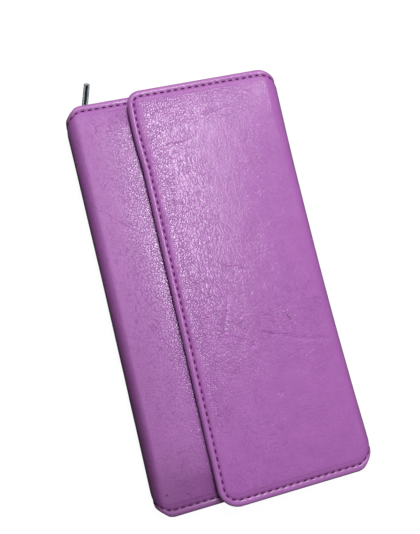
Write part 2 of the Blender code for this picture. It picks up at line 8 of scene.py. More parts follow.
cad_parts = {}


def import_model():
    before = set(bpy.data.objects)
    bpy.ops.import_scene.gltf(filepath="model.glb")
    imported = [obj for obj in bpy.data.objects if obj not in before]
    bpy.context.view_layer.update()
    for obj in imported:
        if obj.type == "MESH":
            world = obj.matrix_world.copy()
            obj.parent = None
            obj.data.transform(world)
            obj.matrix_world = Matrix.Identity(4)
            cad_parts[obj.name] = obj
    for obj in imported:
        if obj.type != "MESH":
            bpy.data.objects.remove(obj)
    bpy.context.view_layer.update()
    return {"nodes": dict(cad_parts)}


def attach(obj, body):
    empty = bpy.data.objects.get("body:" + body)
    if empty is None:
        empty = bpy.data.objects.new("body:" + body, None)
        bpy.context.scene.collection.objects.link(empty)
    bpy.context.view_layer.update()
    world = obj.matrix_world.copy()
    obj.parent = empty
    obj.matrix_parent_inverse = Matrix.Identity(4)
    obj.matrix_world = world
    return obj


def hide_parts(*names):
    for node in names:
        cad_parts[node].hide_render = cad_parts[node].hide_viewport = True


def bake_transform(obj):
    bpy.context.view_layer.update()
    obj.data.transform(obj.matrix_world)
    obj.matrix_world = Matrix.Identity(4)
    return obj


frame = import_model()
nodes = frame["nodes"]


# The camera. It looks down on the closed wallet from a little left of its middle, and
# the wallet's length leans across the picture.
eye = Vector((-0.06294, -0.02039, 0.33085))
looking = Vector((0.1909, 0.0898, -0.9775)).normalized()
picture_up = Vector((0.2183, 0.9670, 0.1314))
focal_pixels = 700.0
tall_side_pixels = 534.0
lens = bpy.data.cameras.new("camera")
lens.sensor_width = 36.0
lens.lens = focal_pixels / tall_side_pixels * lens.sensor_width
lens.clip_start = 0.01
camera = bpy.data.objects.new("camera", lens)
bpy.context.scene.collection.objects.link(camera)
picture_right = looking.cross(picture_up).normalized()
turn = Matrix((picture_right, picture_right.cross(looking), -looking)).transposed()
camera.matrix_world = Matrix.Translation(eye) @ turn.to_4x4()
bpy.context.scene.camera = camera
bpy.context.scene.view_settings.view_transform = "Standard"


# The floor and the lamps. A white floor catches the wallet's shadow. Three soft lamps hang
# over and beyond its upper end, each further out, and a pale surround fills the shadows.
def add_node(tree, kind, inputs=(), **settings):
    """A shader node with its settings, and its inputs given values or joined to sockets."""
    made = tree.nodes.new(kind)
    for name, value in settings.items():
        setattr(made, name, value)
    for name, value in dict(inputs).items():
        if isinstance(value, bpy.types.NodeSocket):
            tree.links.new(value, made.inputs[name])
        else:
            made.inputs[name].default_value = value
    return made


def math_node(tree, operation, first, second=0.0, third=0.0, clamp=False):
    """A Math node's output."""
    made = add_node(tree, "ShaderNodeMath", {0: first, 1: second, 2: third}, operation=operation)
    made.use_clamp = clamp
    return made.outputs[0]


def vector_node(tree, operation, first, *others, scale=1.0):
    """A Vector Math node's output."""
    made = add_node(tree, "ShaderNodeVectorMath", {0: first, **dict(enumerate(others, 1)), 3: scale},
                    operation=operation)
    return made.outputs["Value" if operation in ("DOT_PRODUCT", "DISTANCE") else "Vector"]


def paint(red, green, blue):
    """A colour given as it shows on a screen, from 0 to 255, in the shader's own scale."""
    shown = np.array((red, green, blue)) / 255
    linear = np.where(shown > 0.04045, ((shown + 0.055) / 1.055) ** 2.4, shown / 12.92)
    return (*(float(part) for part in linear), 1.0)


def new_material(name):
    """An empty material with its tree and its output node."""
    made = bpy.data.materials.new(name)
    made.use_nodes = True
    made.node_tree.nodes.clear()
    return made, made.node_tree, made.node_tree.nodes.new("ShaderNodeOutputMaterial")


floor_half = 1.5
mesh = bpy.data.meshes.new("floor")
mesh.from_pydata(
    [(x * floor_half, y * floor_half, 0) for x, y in ((-1, -1), (1, -1), (1, 1), (-1, 1))],
    [],
    [(0, 1, 2, 3)],
)
floor = bpy.data.objects.new("floor", mesh)
bpy.context.scene.collection.objects.link(floor)
floor_finish, tree, output = new_material("white_floor")
base = add_node(tree, "ShaderNodeBsdfDiffuse", {"Color": (0.09, 0.09, 0.09, 1)})
glow = add_node(tree, "ShaderNodeEmission", {"Color": (1, 1, 1, 1), "Strength": 0.96})
seen = add_node(tree, "ShaderNodeLightPath")
direct = math_node(tree, "MAXIMUM", seen.outputs["Is Camera Ray"], seen.outputs["Is Transmission Ray"])
lit = add_node(tree, "ShaderNodeAddShader", {0: base.outputs[0], 1: glow.outputs[0]})
mixed = add_node(tree, "ShaderNodeMixShader", {0: direct, 1: base.outputs[0], 2: lit.outputs[0]})
tree.links.new(mixed.outputs[0], output.inputs["Surface"])
mesh.materials.append(floor_finish)

world = bpy.data.worlds.new("surround")
bpy.context.scene.world = world
world.use_nodes = True
tree = world.node_tree
background = tree.nodes["Background"]
background.inputs["Color"].default_value = (0.96, 0.95, 1.0, 1)
towards = add_node(tree, "ShaderNodeTexCoord").outputs["Generated"]
facing = vector_node(tree, "DOT_PRODUCT", towards, (0.60, 0.40, 0.69))
paler = add_node(tree, "ShaderNodeMapRange", {"Value": facing, "From Min": -0.4, "From Max": 0.9,
                 "To Min": 0.015, "To Max": 0.27})
tree.links.new(paler.outputs[0], background.inputs["Strength"])
white = add_node(tree, "ShaderNodeBackground", {"Color": (1, 1, 1, 1), "Strength": 1.0})
seen = add_node(tree, "ShaderNodeLightPath")
mixed = add_node(tree, "ShaderNodeMixShader", {0: seen.outputs["Is Camera Ray"],
                 1: background.outputs[0], 2: white.outputs[0]})
tree.links.new(mixed.outputs[0], tree.nodes["World Output"].inputs["Surface"])


def add_lamp(name, place, width, length, power, colour):
    """A rectangular soft lamp turned towards the middle of the wallet."""
    lamp = bpy.data.lights.new(name, "AREA")
    lamp.shape = "RECTANGLE"
    lamp.size = width
    lamp.size_y = length
    lamp.energy = power
    lamp.color = colour
    holder = bpy.data.objects.new(name, lamp)
    holder.location = place
    holder.rotation_mode = "QUATERNION"
    holder.rotation_quaternion = (Vector((0, 0, 0.02)) - Vector(place)).to_track_quat("-Z", "Y")
    bpy.context.scene.collection.objects.link(holder)


add_lamp("overhead_lamp", (0.050, 0.20, 0.86), 0.08, 0.43, 4.3, (0.95, 0.965, 1.0))
add_lamp("cross_lamp", (0.17, 0.46, 0.84), 0.24, 0.12, 1.8, (0.97, 0.975, 1.0))
add_lamp("window_lamp", (0.20, 0.76, 0.62), 0.6, 0.4, 1.7, (1.0, 0.98, 0.97))


# The outer leather's finish. It is orchid imitation leather, waxed to a soft gloss, with
# pebbles about a millimetre across, drawn out into wrinkles where the leather is crinkled.
def new_group(name, inputs, outputs):
    """A shader node group with named value and colour sockets."""
    made = bpy.data.node_groups.new(name, "ShaderNodeTree")
    for socket, kind in inputs:
        made.interface.new_socket(socket, in_out="INPUT", socket_type="NodeSocket" + kind)
    for socket, kind in outputs:
        made.interface.new_socket(socket, in_out="OUTPUT", socket_type="NodeSocket" + kind)
    return made, made.nodes.new("NodeGroupInput"), made.nodes.new("NodeGroupOutput")


def scaled(tree, value, by, plus=0.0):
    """One value times another, plus a third."""
    return math_node(tree, "MULTIPLY_ADD", value, by, plus)


def flipped(tree, value):
    """One less a value."""
    return math_node(tree, "SUBTRACT", 1.0, value)


def range_node(tree, value, low, high, to_low=0.0, to_high=1.0, smooth=True):
    """A Map Range node's output, smooth between its ends."""
    made = add_node(tree, "ShaderNodeMapRange", {"Value": value, "From Min": low,
                    "From Max": high, "To Min": to_low, "To Max": to_high})
    made.interpolation_type = "SMOOTHSTEP" if smooth else "LINEAR"
    return made.outputs[0]


def noise_node(tree, vector, scale, detail=2.0, roughness=0.5, distortion=0.0):
    """A Noise Texture node's factor."""
    made = add_node(tree, "ShaderNodeTexNoise", {"Vector": vector, "Scale": scale,
                    "Detail": detail, "Roughness": roughness, "Distortion": distortion})
    return made.outputs["Fac"]


def colour_node(tree, factor, first, second):
    """A mix of two colours."""
    mixed = add_node(tree, "ShaderNodeMix", {"Factor": factor, "A": first, "B": second},
                     data_type="RGBA")
    return mixed.outputs["Result"]


def attribute(tree, name):
    """A value that the mesh keeps at each of its points."""
    return add_node(tree, "ShaderNodeAttribute", attribute_name=name).outputs["Fac"]


def add_surface(tree, output, colour, roughness, height, strength, distance, **more):
    """A Principled surface with a bump, joined to the material's output."""
    relief = add_node(tree, "ShaderNodeBump", {"Strength": strength, "Distance": distance,
                      "Height": height})
    inputs = {"Base Color": colour, "Roughness": roughness, "Normal": relief.outputs[0]}
    inputs.update({name.replace("_", " "): value for name, value in more.items()})
    surface = add_node(tree, "ShaderNodeBsdfPrincipled", inputs)
    tree.links.new(surface.outputs[0], output.inputs["Surface"])
    return relief, surface


pebble_dome = 0.42
sharp_crack = 0.13
soft_crack = 0.26

grain, inside, outside = new_group(
    "leather_grain",
    [("Vector", "Vector"), ("Pebble Scale", "Float"), ("Wrinkle Scale", "Float"),
     ("Wrinkle Depth", "Float"), ("Flatness", "Float"), ("Crinkle", "Float"), ("Lie", "Float"),
     ("Pebbled", "Float")],
    [("Height", "Float"), ("Valleys", "Float"), ("Mottle", "Float")],
)
pebble_scale = inside.outputs["Pebble Scale"]
wrinkle_scale = inside.outputs["Wrinkle Scale"]
wrinkle_depth = inside.outputs["Wrinkle Depth"]
crinkle = inside.outputs["Crinkle"]
keep = flipped(grain, inside.outputs["Flatness"])
place = vector_node(grain, "SCALE", inside.outputs["Vector"], scale=1000.0)
swayed = place
for scale, reach in ((0.030, 16.0), (0.8, 0.9)):
    drift = add_node(grain, "ShaderNodeTexNoise", {"Vector": place, "Scale": scale, "Detail": 1.0})
    swayed = vector_node(grain, "MULTIPLY_ADD", drift.outputs["Color"], (reach, reach, 0.0), swayed)


def drawn_out(angle, shrink):
    """The leather's place, turned, and shrunk along one way so that a pattern is long there."""
    turned = add_node(grain, "ShaderNodeVectorRotate", {"Vector": swayed, "Angle": angle},
                      rotation_type="Z_AXIS").outputs[0]
    return vector_node(grain, "MULTIPLY", turned, (1.0, shrink, 1.0))


def pebbles(place, scale, crack, wanted):
    """Cells with sharp cracks between them and low domes, as a height from 0 to a given one."""
    edges = add_node(grain, "ShaderNodeTexVoronoi", {"Vector": place, "Scale": scale},
                     feature="DISTANCE_TO_EDGE").outputs["Distance"]
    cells = range_node(grain, edges, 0.0, crack)
    domes = range_node(grain, edges, 0.0, pebble_dome)
    return scaled(grain, cells, 0.75 * wanted, scaled(grain, domes, 0.25 * wanted))


def crinkles(angle, shrink):
    """Wavy lines and long pebbles that run one way, as a height from 0 to 1."""
    drawn = drawn_out(angle, shrink)
    waves = range_node(grain, noise_node(grain, drawn, wrinkle_scale, 1.0), 0.36, 0.64)
    return scaled(grain, waves, 0.30, pebbles(drawn, pebble_scale, sharp_crack, 0.70))


def blend_values(factor, first, second):
    """Mix two values."""
    return add_node(grain, "ShaderNodeMix", {"Factor": factor, "A": first, "B": second}).outputs[0]


roam = scaled(grain, noise_node(grain, place, 0.06), 1.6, -0.8)
across = range_node(grain, math_node(grain, "ADD", inside.outputs["Lie"], roam), 0.30, 0.70)
height = blend_values(across, crinkles(0.10, 0.34), crinkles(1.45, 0.42))
patches = scaled(grain, noise_node(grain, place, 0.16), 1.8, -0.9)
patches = range_node(grain, math_node(grain, "ADD", inside.outputs["Pebbled"], patches), 0.35, 0.65)
height = blend_values(patches, height, pebbles(swayed, scaled(grain, pebble_scale, 0.90),
                                               sharp_crack, 1.0))
lines = noise_node(grain, drawn_out(1.35, 0.34), 0.26, 1.0, 0.5, 0.4)
lines = math_node(grain, "ABSOLUTE", math_node(grain, "SUBTRACT", lines, 0.5))
lines = flipped(grain, range_node(grain, lines, 0.0, 0.030))
spread = range_node(grain, noise_node(grain, place, 0.05, 1.0), 0.36, 0.56)
wrinkled = scaled(grain, keep, scaled(grain, crinkle, 0.45, 0.55))
lines = scaled(grain, scaled(grain, lines, spread), wrinkled)
fine = pebbles(place, scaled(grain, pebble_scale, 1.2), soft_crack, 1.0)
pores = noise_node(grain, place, 3.6)
deep = scaled(grain, wrinkle_depth, scaled(grain, keep, 0.92, 0.08))
relief = scaled(grain, height, scaled(grain, deep, crinkle))
relief = scaled(grain, fine, scaled(grain, scaled(grain, keep, 0.8, 0.2), 0.014), relief)
relief = scaled(grain, pores, 0.006, relief)
relief = scaled(grain, lines, scaled(grain, wrinkle_depth, -0.8), relief)
grain.links.new(relief, outside.inputs["Height"])
valleys = flipped(grain, range_node(grain, height, 0.05, 0.65))
grain.links.new(scaled(grain, scaled(grain, valleys, crinkle), keep), outside.inputs["Valleys"])
grain.links.new(noise_node(grain, place, 0.11, 3.0, 0.55), outside.inputs["Mottle"])

line_group, inside, outside = new_group(
    "pressed_line",
    [("Vector", "Vector"), ("Start", "Vector"), ("End", "Vector"), ("Half Width", "Float")],
    [("Depth", "Float")])
ahead = vector_node(line_group, "SUBTRACT", inside.outputs["End"], inside.outputs["Start"])
aside = vector_node(line_group, "SUBTRACT", inside.outputs["Vector"], inside.outputs["Start"])
sway = add_node(line_group, "ShaderNodeTexNoise", {"Vector": inside.outputs["Vector"],
                "Scale": 140.0, "Detail": 2.0}).outputs["Color"]
sway = vector_node(line_group, "SUBTRACT", sway, (0.5, 0.5, 0.5))
aside = vector_node(line_group, "MULTIPLY_ADD", sway, (0.004, 0.004, 0.0), aside)
run = math_node(line_group, "DIVIDE", vector_node(line_group, "DOT_PRODUCT", aside, ahead),
                vector_node(line_group, "DOT_PRODUCT", ahead, ahead), clamp=True)
nearest = vector_node(line_group, "SCALE", ahead, scale=run)
gap = vector_node(line_group, "DISTANCE", aside, nearest)
middle = flipped(line_group, math_node(line_group, "ABSOLUTE", scaled(line_group, run, 2.0, -1.0)))
width = scaled(line_group, inside.outputs["Half Width"], scaled(line_group, middle, 0.7, 0.3))
gap = math_node(line_group, "DIVIDE", gap, width)
line_group.links.new(flipped(line_group, range_node(line_group, gap, 0.0, 1.0)),
                     outside.inputs["Depth"])

leather, tree, output = new_material("orchid_leather")
strip_map = add_node(tree, "ShaderNodeUVMap", uv_map="strip").outputs["UV"]
grained = add_node(tree, "ShaderNodeGroup", {
    "Vector": strip_map, "Pebble Scale": 0.90, "Wrinkle Scale": 0.60, "Wrinkle Depth": 0.058,
    "Flatness": attribute(tree, "flatness"), "Crinkle": attribute(tree, "crinkle"),
    "Lie": attribute(tree, "lie"), "Pebbled": attribute(tree, "pebbled")}, node_tree=grain)
valleys = grained.outputs["Valleys"]
mottle = grained.outputs["Mottle"]
groove = attribute(tree, "groove")
colour = colour_node(tree, range_node(tree, mottle, 0.3, 0.7), paint(174, 102, 177),
                     paint(179, 106, 182))
# Tints painted over the leather's own tones: painted shade in the grain's cracks, a painted highlight
# along the rolled border, painted shade in the stitch groove, and a last tint of painted shade on the
# left fold's side and a painted shadow under the flap's edge, which also darkens the front panel towards
# its lower end.
for amount, share, tint in ((valleys, 0.75, paint(120, 48, 130)),
                            (attribute(tree, "rim_highlight"), 0.15, paint(214, 158, 212)),
                            (groove, 0.25, paint(112, 46, 112)),
                            (attribute(tree, "soil"), 1.0, paint(64, 28, 56))):
    colour = colour_node(tree, scaled(tree, amount, share), colour, tint)
shine = range_node(tree, mottle, 0.2, 0.8, 0.17, 0.22)
for amount, share in ((valleys, 0.15), (groove, 0.30), (attribute(tree, "matte"), 0.34)):
    shine = scaled(tree, amount, share, shine)
leather_relief, leather_surface = add_surface(
    tree, output, colour, shine, grained.outputs["Height"], 1.0, 0.001,
    Specular_IOR_Level=0.36, Coat_Weight=0.3, Coat_Roughness=0.5)


def press_lines(lines):
    """Press sharp creases, given as (start, end, half width) on the strip map, into the grain."""
    tree = leather.node_tree
    height = leather_relief.inputs["Height"].links[0].from_socket
    for start, end, half_width in lines:
        pressed = add_node(tree, "ShaderNodeGroup", {
            "Vector": strip_map, "Start": start, "End": end, "Half Width": half_width},
            node_tree=line_group)
        height = scaled(tree, pressed.outputs[0], -0.09, height)
    tree.links.new(height, leather_relief.inputs["Height"])


def stain_dots(dots):
    """Small dark pinholes, given as (place on the strip map, radius)."""
    tree = leather.node_tree
    colour = leather_surface.inputs["Base Color"].links[0].from_socket
    for place, radius in dots:
        gap = vector_node(tree, "DISTANCE", strip_map, place)
        dark = range_node(tree, gap, radius * 0.4, radius, 0.9, 0.0)
        colour = colour_node(tree, dark, colour, paint(70, 26, 66))
    tree.links.new(colour, leather_surface.inputs["Base Color"])


# The outer leather of the back panel. One strip of leather wraps the whole wallet, and the
# back panel's share of it is cut here in two halves that meet under the middle. Its ends
# are turned in over the board's edge and sewn down.
half_length = 0.0950
right_fold_x = 0.0438
left_fold_x = -0.0453
right_radius = 0.0070
left_radius = 0.0055
right_bow = 0.0020
left_bow = 0.0004
flap_level = 0.0249
front_level = 0.0173
skin = 0.0006
lining_thickness = 0.0003
end_pull = 0.0045
end_pull_run = 0.0030
fold_wall = 0.0034
fold_drop = 0.0003
padded_drop = 0.0005
drop_power = 1.8
panel_run = 0.0060
stitch_inset = 0.0027
end_stitch_share = 1.20
stitch_pitch = 0.0033
stitch_groove = 0.0004
groove_half = 0.0005
stitch_dimple = 0.00010
puff_run = 0.0042
end_sag = 0.0009
end_sag_run = 0.0220
end_sag_power = 2.5
crown_start = 0.0020
edge_roll = 0.0017
under_roll = 0.0007
turned_margin = 0.0040
fold_margin_share = 0.35
near_band = 0.0046
least_corner = 0.0062
squeeze_from = 0.0040
swell_from = 0.0010
swell_run = 0.0060
line_half_width = 0.0004
tight_start = 0.0003
rim_highlight_start = 0.0005
rim_highlight_run = 0.0008
back_wall = 0.0029
back_drop = 0.0002
padded_wall = 0.00435
back_corner = 0.0080
flap_edge_x = -0.0223
flap_slant = 0.0008
flap_swell = 0.0008
front_edge_x = 0.0040
up_shift = 0.3
seed_shift = 0.37


def ease(share):
    """A smooth step from 0 to 1."""
    held = np.clip(share, 0.0, 1.0)
    return held * held * (3 - 2 * held)


def past(place, start, run):
    """0 up to a place, and 1 from a run beyond it on."""
    return ease((place - start) / run)


def before(place, start, run):
    """0 beyond a place, and 1 from a run before it on."""
    return ease((start - place) / run)


class FoldPath:
    """The strip's section, from the middle of a fold round a corner and out along a panel."""

    def __init__(self, side, level, middle, fold_x, radius, bow, wall, drop, crown=0.0, run=0.036,
                 edge_run=0.034):
        self.side = side
        self.up = 1 if level > middle else -1
        self.level = level
        self.fold_x = fold_x
        self.radius = radius
        self.bow = bow
        self.wall = wall
        self.drop = drop
        self.crown = crown
        self.crown_run = run
        self.edge_run = edge_run
        self.straight = abs(level - middle) - radius
        self.flat_from = self.straight + radius * math.pi / 2

    def across(self, x):
        """How far along the strip a place on the panel lies."""
        return self.flat_from + self.side * (self.fold_x - x)

    def on_panel(self, s, run):
        """0 on the fold's straight wall and 1 past the corner, over a run of flat leather."""
        return ease((s - self.straight) / (self.flat_from - self.straight + run))

    def wall_at(self, s):
        """How deep the turned edge reaches under the outer face."""
        return fold_wall + (self.wall - fold_wall) * self.on_panel(s, 0.0)

    def pulled(self, s, end_y):
        """How far one of the strip's ends is drawn in where it crosses the fold."""
        return (abs(end_y) - half_length + end_pull) * (1 - self.on_panel(s, end_pull_run))

    def normal(self, s):
        """The outward direction in the section, as (x, z)."""
        angle = np.clip((s - self.straight) / self.radius, 0.0, math.pi / 2)
        return self.side * np.cos(angle), self.up * np.sin(angle)

    def place(self, s, y, depth):
        """Points of the strip, each at a depth under its outer face."""
        out, rise = self.normal(s)
        drawn = self.bow * (1 - (y / half_length) ** 2) / self.radius
        flat = np.maximum(s - self.flat_from, 0.0)
        below = np.minimum(s - self.straight, 0.0)
        reach = self.side * out * self.radius * (1 - drawn) - flat
        x = self.fold_x + self.side * reach - out * depth
        z = self.level - self.up * (self.radius - below) + rise * self.radius - rise * depth
        return np.stack([x, y + 0 * s, z], axis=-1)


class StripGrid:
    """A grid over one length of the strip, whose rows follow its rounded free corners."""

    def __init__(self, path, edge_x, low_y, high_y, low_corner, high_corner, insets,
                 steps, near, end_share, margins, bordered=True):
        self.path = path
        self.bordered = bordered
        levels = len(insets) - 1
        spine_steps, arc_steps, flat_steps, long_steps = steps
        self.first_edge = spine_steps + arc_steps + flat_steps
        self.low_row = levels
        self.high_row = levels + long_steps
        columns = np.arange(self.first_edge + (levels if bordered else 0) + 1)
        rows = np.arange(self.high_row + levels + 1)
        i, j = np.meshgrid(columns, rows, indexing="ij")
        past_edge = np.maximum(i - self.first_edge, 0)
        past_end = np.maximum(self.low_row - j, 0) + np.maximum(j - self.high_row, 0)
        self.level = np.maximum(past_edge, past_end)
        biggest = np.maximum(self.level, 1)
        lean = np.where(past_edge >= past_end, past_end / biggest, 2 - past_edge / biggest)
        self.angle = np.where(self.level > 0, lean * math.pi / 4, 0.0)
        along = np.clip((j - self.low_row) / long_steps, 0, 1)
        self.corner = low_corner + (high_corner - low_corner) * ease(along)
        far = insets[self.level] > near
        scaled = near + (self.corner - near) * (insets[self.level] - near) / (insets[0] - near)
        self.inset = np.where(far, scaled, insets[self.level])
        upward = np.sign(j - (self.low_row + self.high_row) / 2)
        row_y = low_y + low_corner + (high_y - high_corner - low_y - low_corner) * along
        edge_s = path.across(edge_x(row_y))
        held = edge_s - self.corner if bordered else edge_s
        spine = np.clip(i / spine_steps, 0, 1) * path.straight
        arc = np.clip((i - spine_steps) / arc_steps, 0, 1) * path.radius * math.pi / 2
        share = np.clip((i - spine_steps - arc_steps) / flat_steps, 0, 1)
        centre_s = spine + arc + share * (held - path.flat_from)
        low_edge = low_y + path.pulled(centre_s, low_y)
        high_edge = high_y - path.pulled(centre_s, high_y)
        shorter = fold_margin_share + (1 - fold_margin_share) * path.on_panel(centre_s, 0.0)
        self.inset = np.where(margins[self.level], under_roll + (self.inset - under_roll) * shorter,
                              self.inset)
        low_end = low_edge + low_corner
        high_end = high_edge - high_corner
        centre_y = low_end + (high_end - low_end) * along
        fade = 1 - past(self.inset, squeeze_from, least_corner - squeeze_from)
        squeeze = 1 - (1 - end_share) * fade * np.sin(self.angle) ** 2
        reach = self.corner - self.inset * squeeze
        self.s = centre_s + reach * np.cos(self.angle)
        self.y = centre_y + upward * reach * np.sin(self.angle)
        self.centre_s = centre_s
        self.centre_y = centre_y
        self.upward = upward
        self.i = i
        self.j = j
        side_gap = edge_s - self.s if bordered else np.full_like(self.s, 1.0)
        end_gap = np.minimum(self.y - low_edge, high_edge - self.y)
        self.end_gap = end_gap
        a = np.maximum(side_gap - self.corner, 0)
        b = np.maximum(end_gap - self.corner, 0)
        least = np.minimum(a, b)
        soft = np.maximum(least - np.abs(a - b), 0) / np.maximum(least, 1e-9)
        deeper = self.corner + least - soft ** 2 * least / 4
        self.from_edge = np.where(self.level > 0, self.inset, deeper)

    def ring_place(self, stitch_level):
        """Each point's place along the seam, counted in points of the seam's own row."""
        first = np.minimum(self.i, self.first_edge).astype(float)
        if not self.bordered:
            return first
        quarter = 2 * stitch_level
        turned = self.angle / (math.pi / 2) * quarter
        beyond = self.i > self.first_edge
        low = first + np.where(beyond, quarter - turned, 0.0)
        edge = self.first_edge + quarter + (self.j - self.low_row)
        last = self.first_edge + quarter + (self.high_row - self.low_row)
        high = last + np.where(beyond, turned, quarter + self.first_edge - first)
        place = np.where(self.j < self.low_row, low, edge)
        place = np.where(self.j > self.high_row, high, place)
        lower_half = self.j * 2 < self.low_row + self.high_row
        return np.where(self.level == 0, np.where(lower_half, first, high), place)

    def seams(self, stitch_level):
        """The rows of points that the seams follow, as lists of (i, j)."""
        low = self.low_row - stitch_level
        high = self.high_row + stitch_level
        if not self.bordered:
            ends = range(self.first_edge + 1)
            return [[(i, low) for i in ends], [(i, high) for i in ends]]
        last = self.first_edge + stitch_level
        row = [(i, low) for i in range(last)]
        row += [(last, j) for j in range(low, high + 1)]
        row += [(i, high) for i in range(last - 1, -1, -1)]
        return [row]


def edge_profile():
    """The turned edge's rows: inset from the edge, sink under the border, and wall share."""
    rows = [(near_band + (least_corner * 2 - near_band) * t, 0.0, 0.0)
            for t in np.linspace(1, 0, 9)[:-1]]
    rows += [(inset, 0.0, 0.0) for inset in np.linspace(near_band, edge_roll, 10)[:-1]]
    for t in np.linspace(0, math.pi / 2, 8):
        rows.append((edge_roll * (1 - math.sin(t)), edge_roll * (1 - math.cos(t)), 0.0))
    rows += [(0.0, edge_roll, share) for share in np.linspace(0, 1, 5)[1:]]
    for t in np.linspace(0, math.pi / 2, 5)[1:]:
        rows.append((under_roll * (1 - math.cos(t)), edge_roll + under_roll * math.sin(t), 1.0))
    rows += [(under_roll + run, edge_roll + under_roll, 1.0)
             for run in np.linspace(0, turned_margin, 6)[1:]]
    return np.array(rows)


def on_strip_map(path, seed, s, y):
    """Where a place on the strip lies on the strip map, clear of the other lengths."""
    return path.side * s + up_shift * path.up, y + seed_shift * seed


def bumps(across, along, width, length, seed):
    """Smooth noise over the strip, from -1 to 1, with lumps of a given size."""
    flat = zip((across / width).ravel(), (along / length).ravel())
    return np.array([noise.noise((u, v, seed)) for u, v in flat]).reshape(across.shape)


def crease(x, y, start, end, half_width, depth, bend):
    """A shallow valley along a slightly bent line between two places."""
    first, last = np.array(start), np.array(end)
    span = last - first
    length = np.hypot(*span)
    ahead = ((x - first[0]) * span[0] + (y - first[1]) * span[1]) / length ** 2
    side = ((x - first[0]) * span[1] - (y - first[1]) * span[0]) / length
    side = side - bend * length * np.sin(np.pi * np.clip(ahead, 0, 1))
    fade = ease(ahead / 0.2 + 0.5) * ease((1 - ahead) / 0.2 + 0.5)
    across = (side / half_width) ** 2
    return -depth * fade * np.exp(-across) * (1 - 0.4 * across)


def grid_mesh(name, points, uv, outward):
    """A mesh from a grid of points, with its faces turned outwards and its strip map."""
    wide, tall = points.shape[:2]
    number = np.arange(wide * tall).reshape(wide, tall)
    faces = np.stack([number[:-1, :-1], number[1:, :-1], number[1:, 1:], number[:-1, 1:]], axis=-1)
    middle = points[wide // 2, tall // 2]
    first = points[wide // 2 + 1, tall // 2] - middle
    second = points[wide // 2, tall // 2 + 1] - middle
    if np.dot(np.cross(first, second), outward[wide // 2, tall // 2]) < 0:
        faces = faces[..., ::-1]
    mesh = bpy.data.meshes.new(name)
    mesh.from_pydata(points.reshape(-1, 3).tolist(), [], faces.reshape(-1, 4).tolist())
    layer = mesh.uv_layers.new(name="strip")
    corners = np.zeros(len(mesh.loops), np.int32)
    mesh.loops.foreach_get("vertex_index", corners)
    layer.data.foreach_set("uv", uv.reshape(-1, 2)[corners].astype(np.float32).ravel())
    mesh.shade_smooth()
    return mesh


def add_object(name, mesh, finish):
    """A piece whose place is in its mesh."""
    mesh.materials.append(finish)
    made = bpy.data.objects.new(name, mesh)
    bpy.context.scene.collection.objects.link(made)
    return made


def thicken(piece, thickness):
    """Give a sheet its thickness, away from the side that its faces point to."""
    wall = piece.modifiers.new("thickness", "SOLIDIFY")
    wall.thickness = thickness
    wall.offset = -1.0


def even_grain(x, y):
    """How crinkled, which way wrinkled, how pebbled and how matte hidden leather is, with no painted
    shade.
    """
    return {"crinkle": 0.4, "lie": 0.3, "pebbled": 0.4, "soil": 0.0, "matte": 0.3}


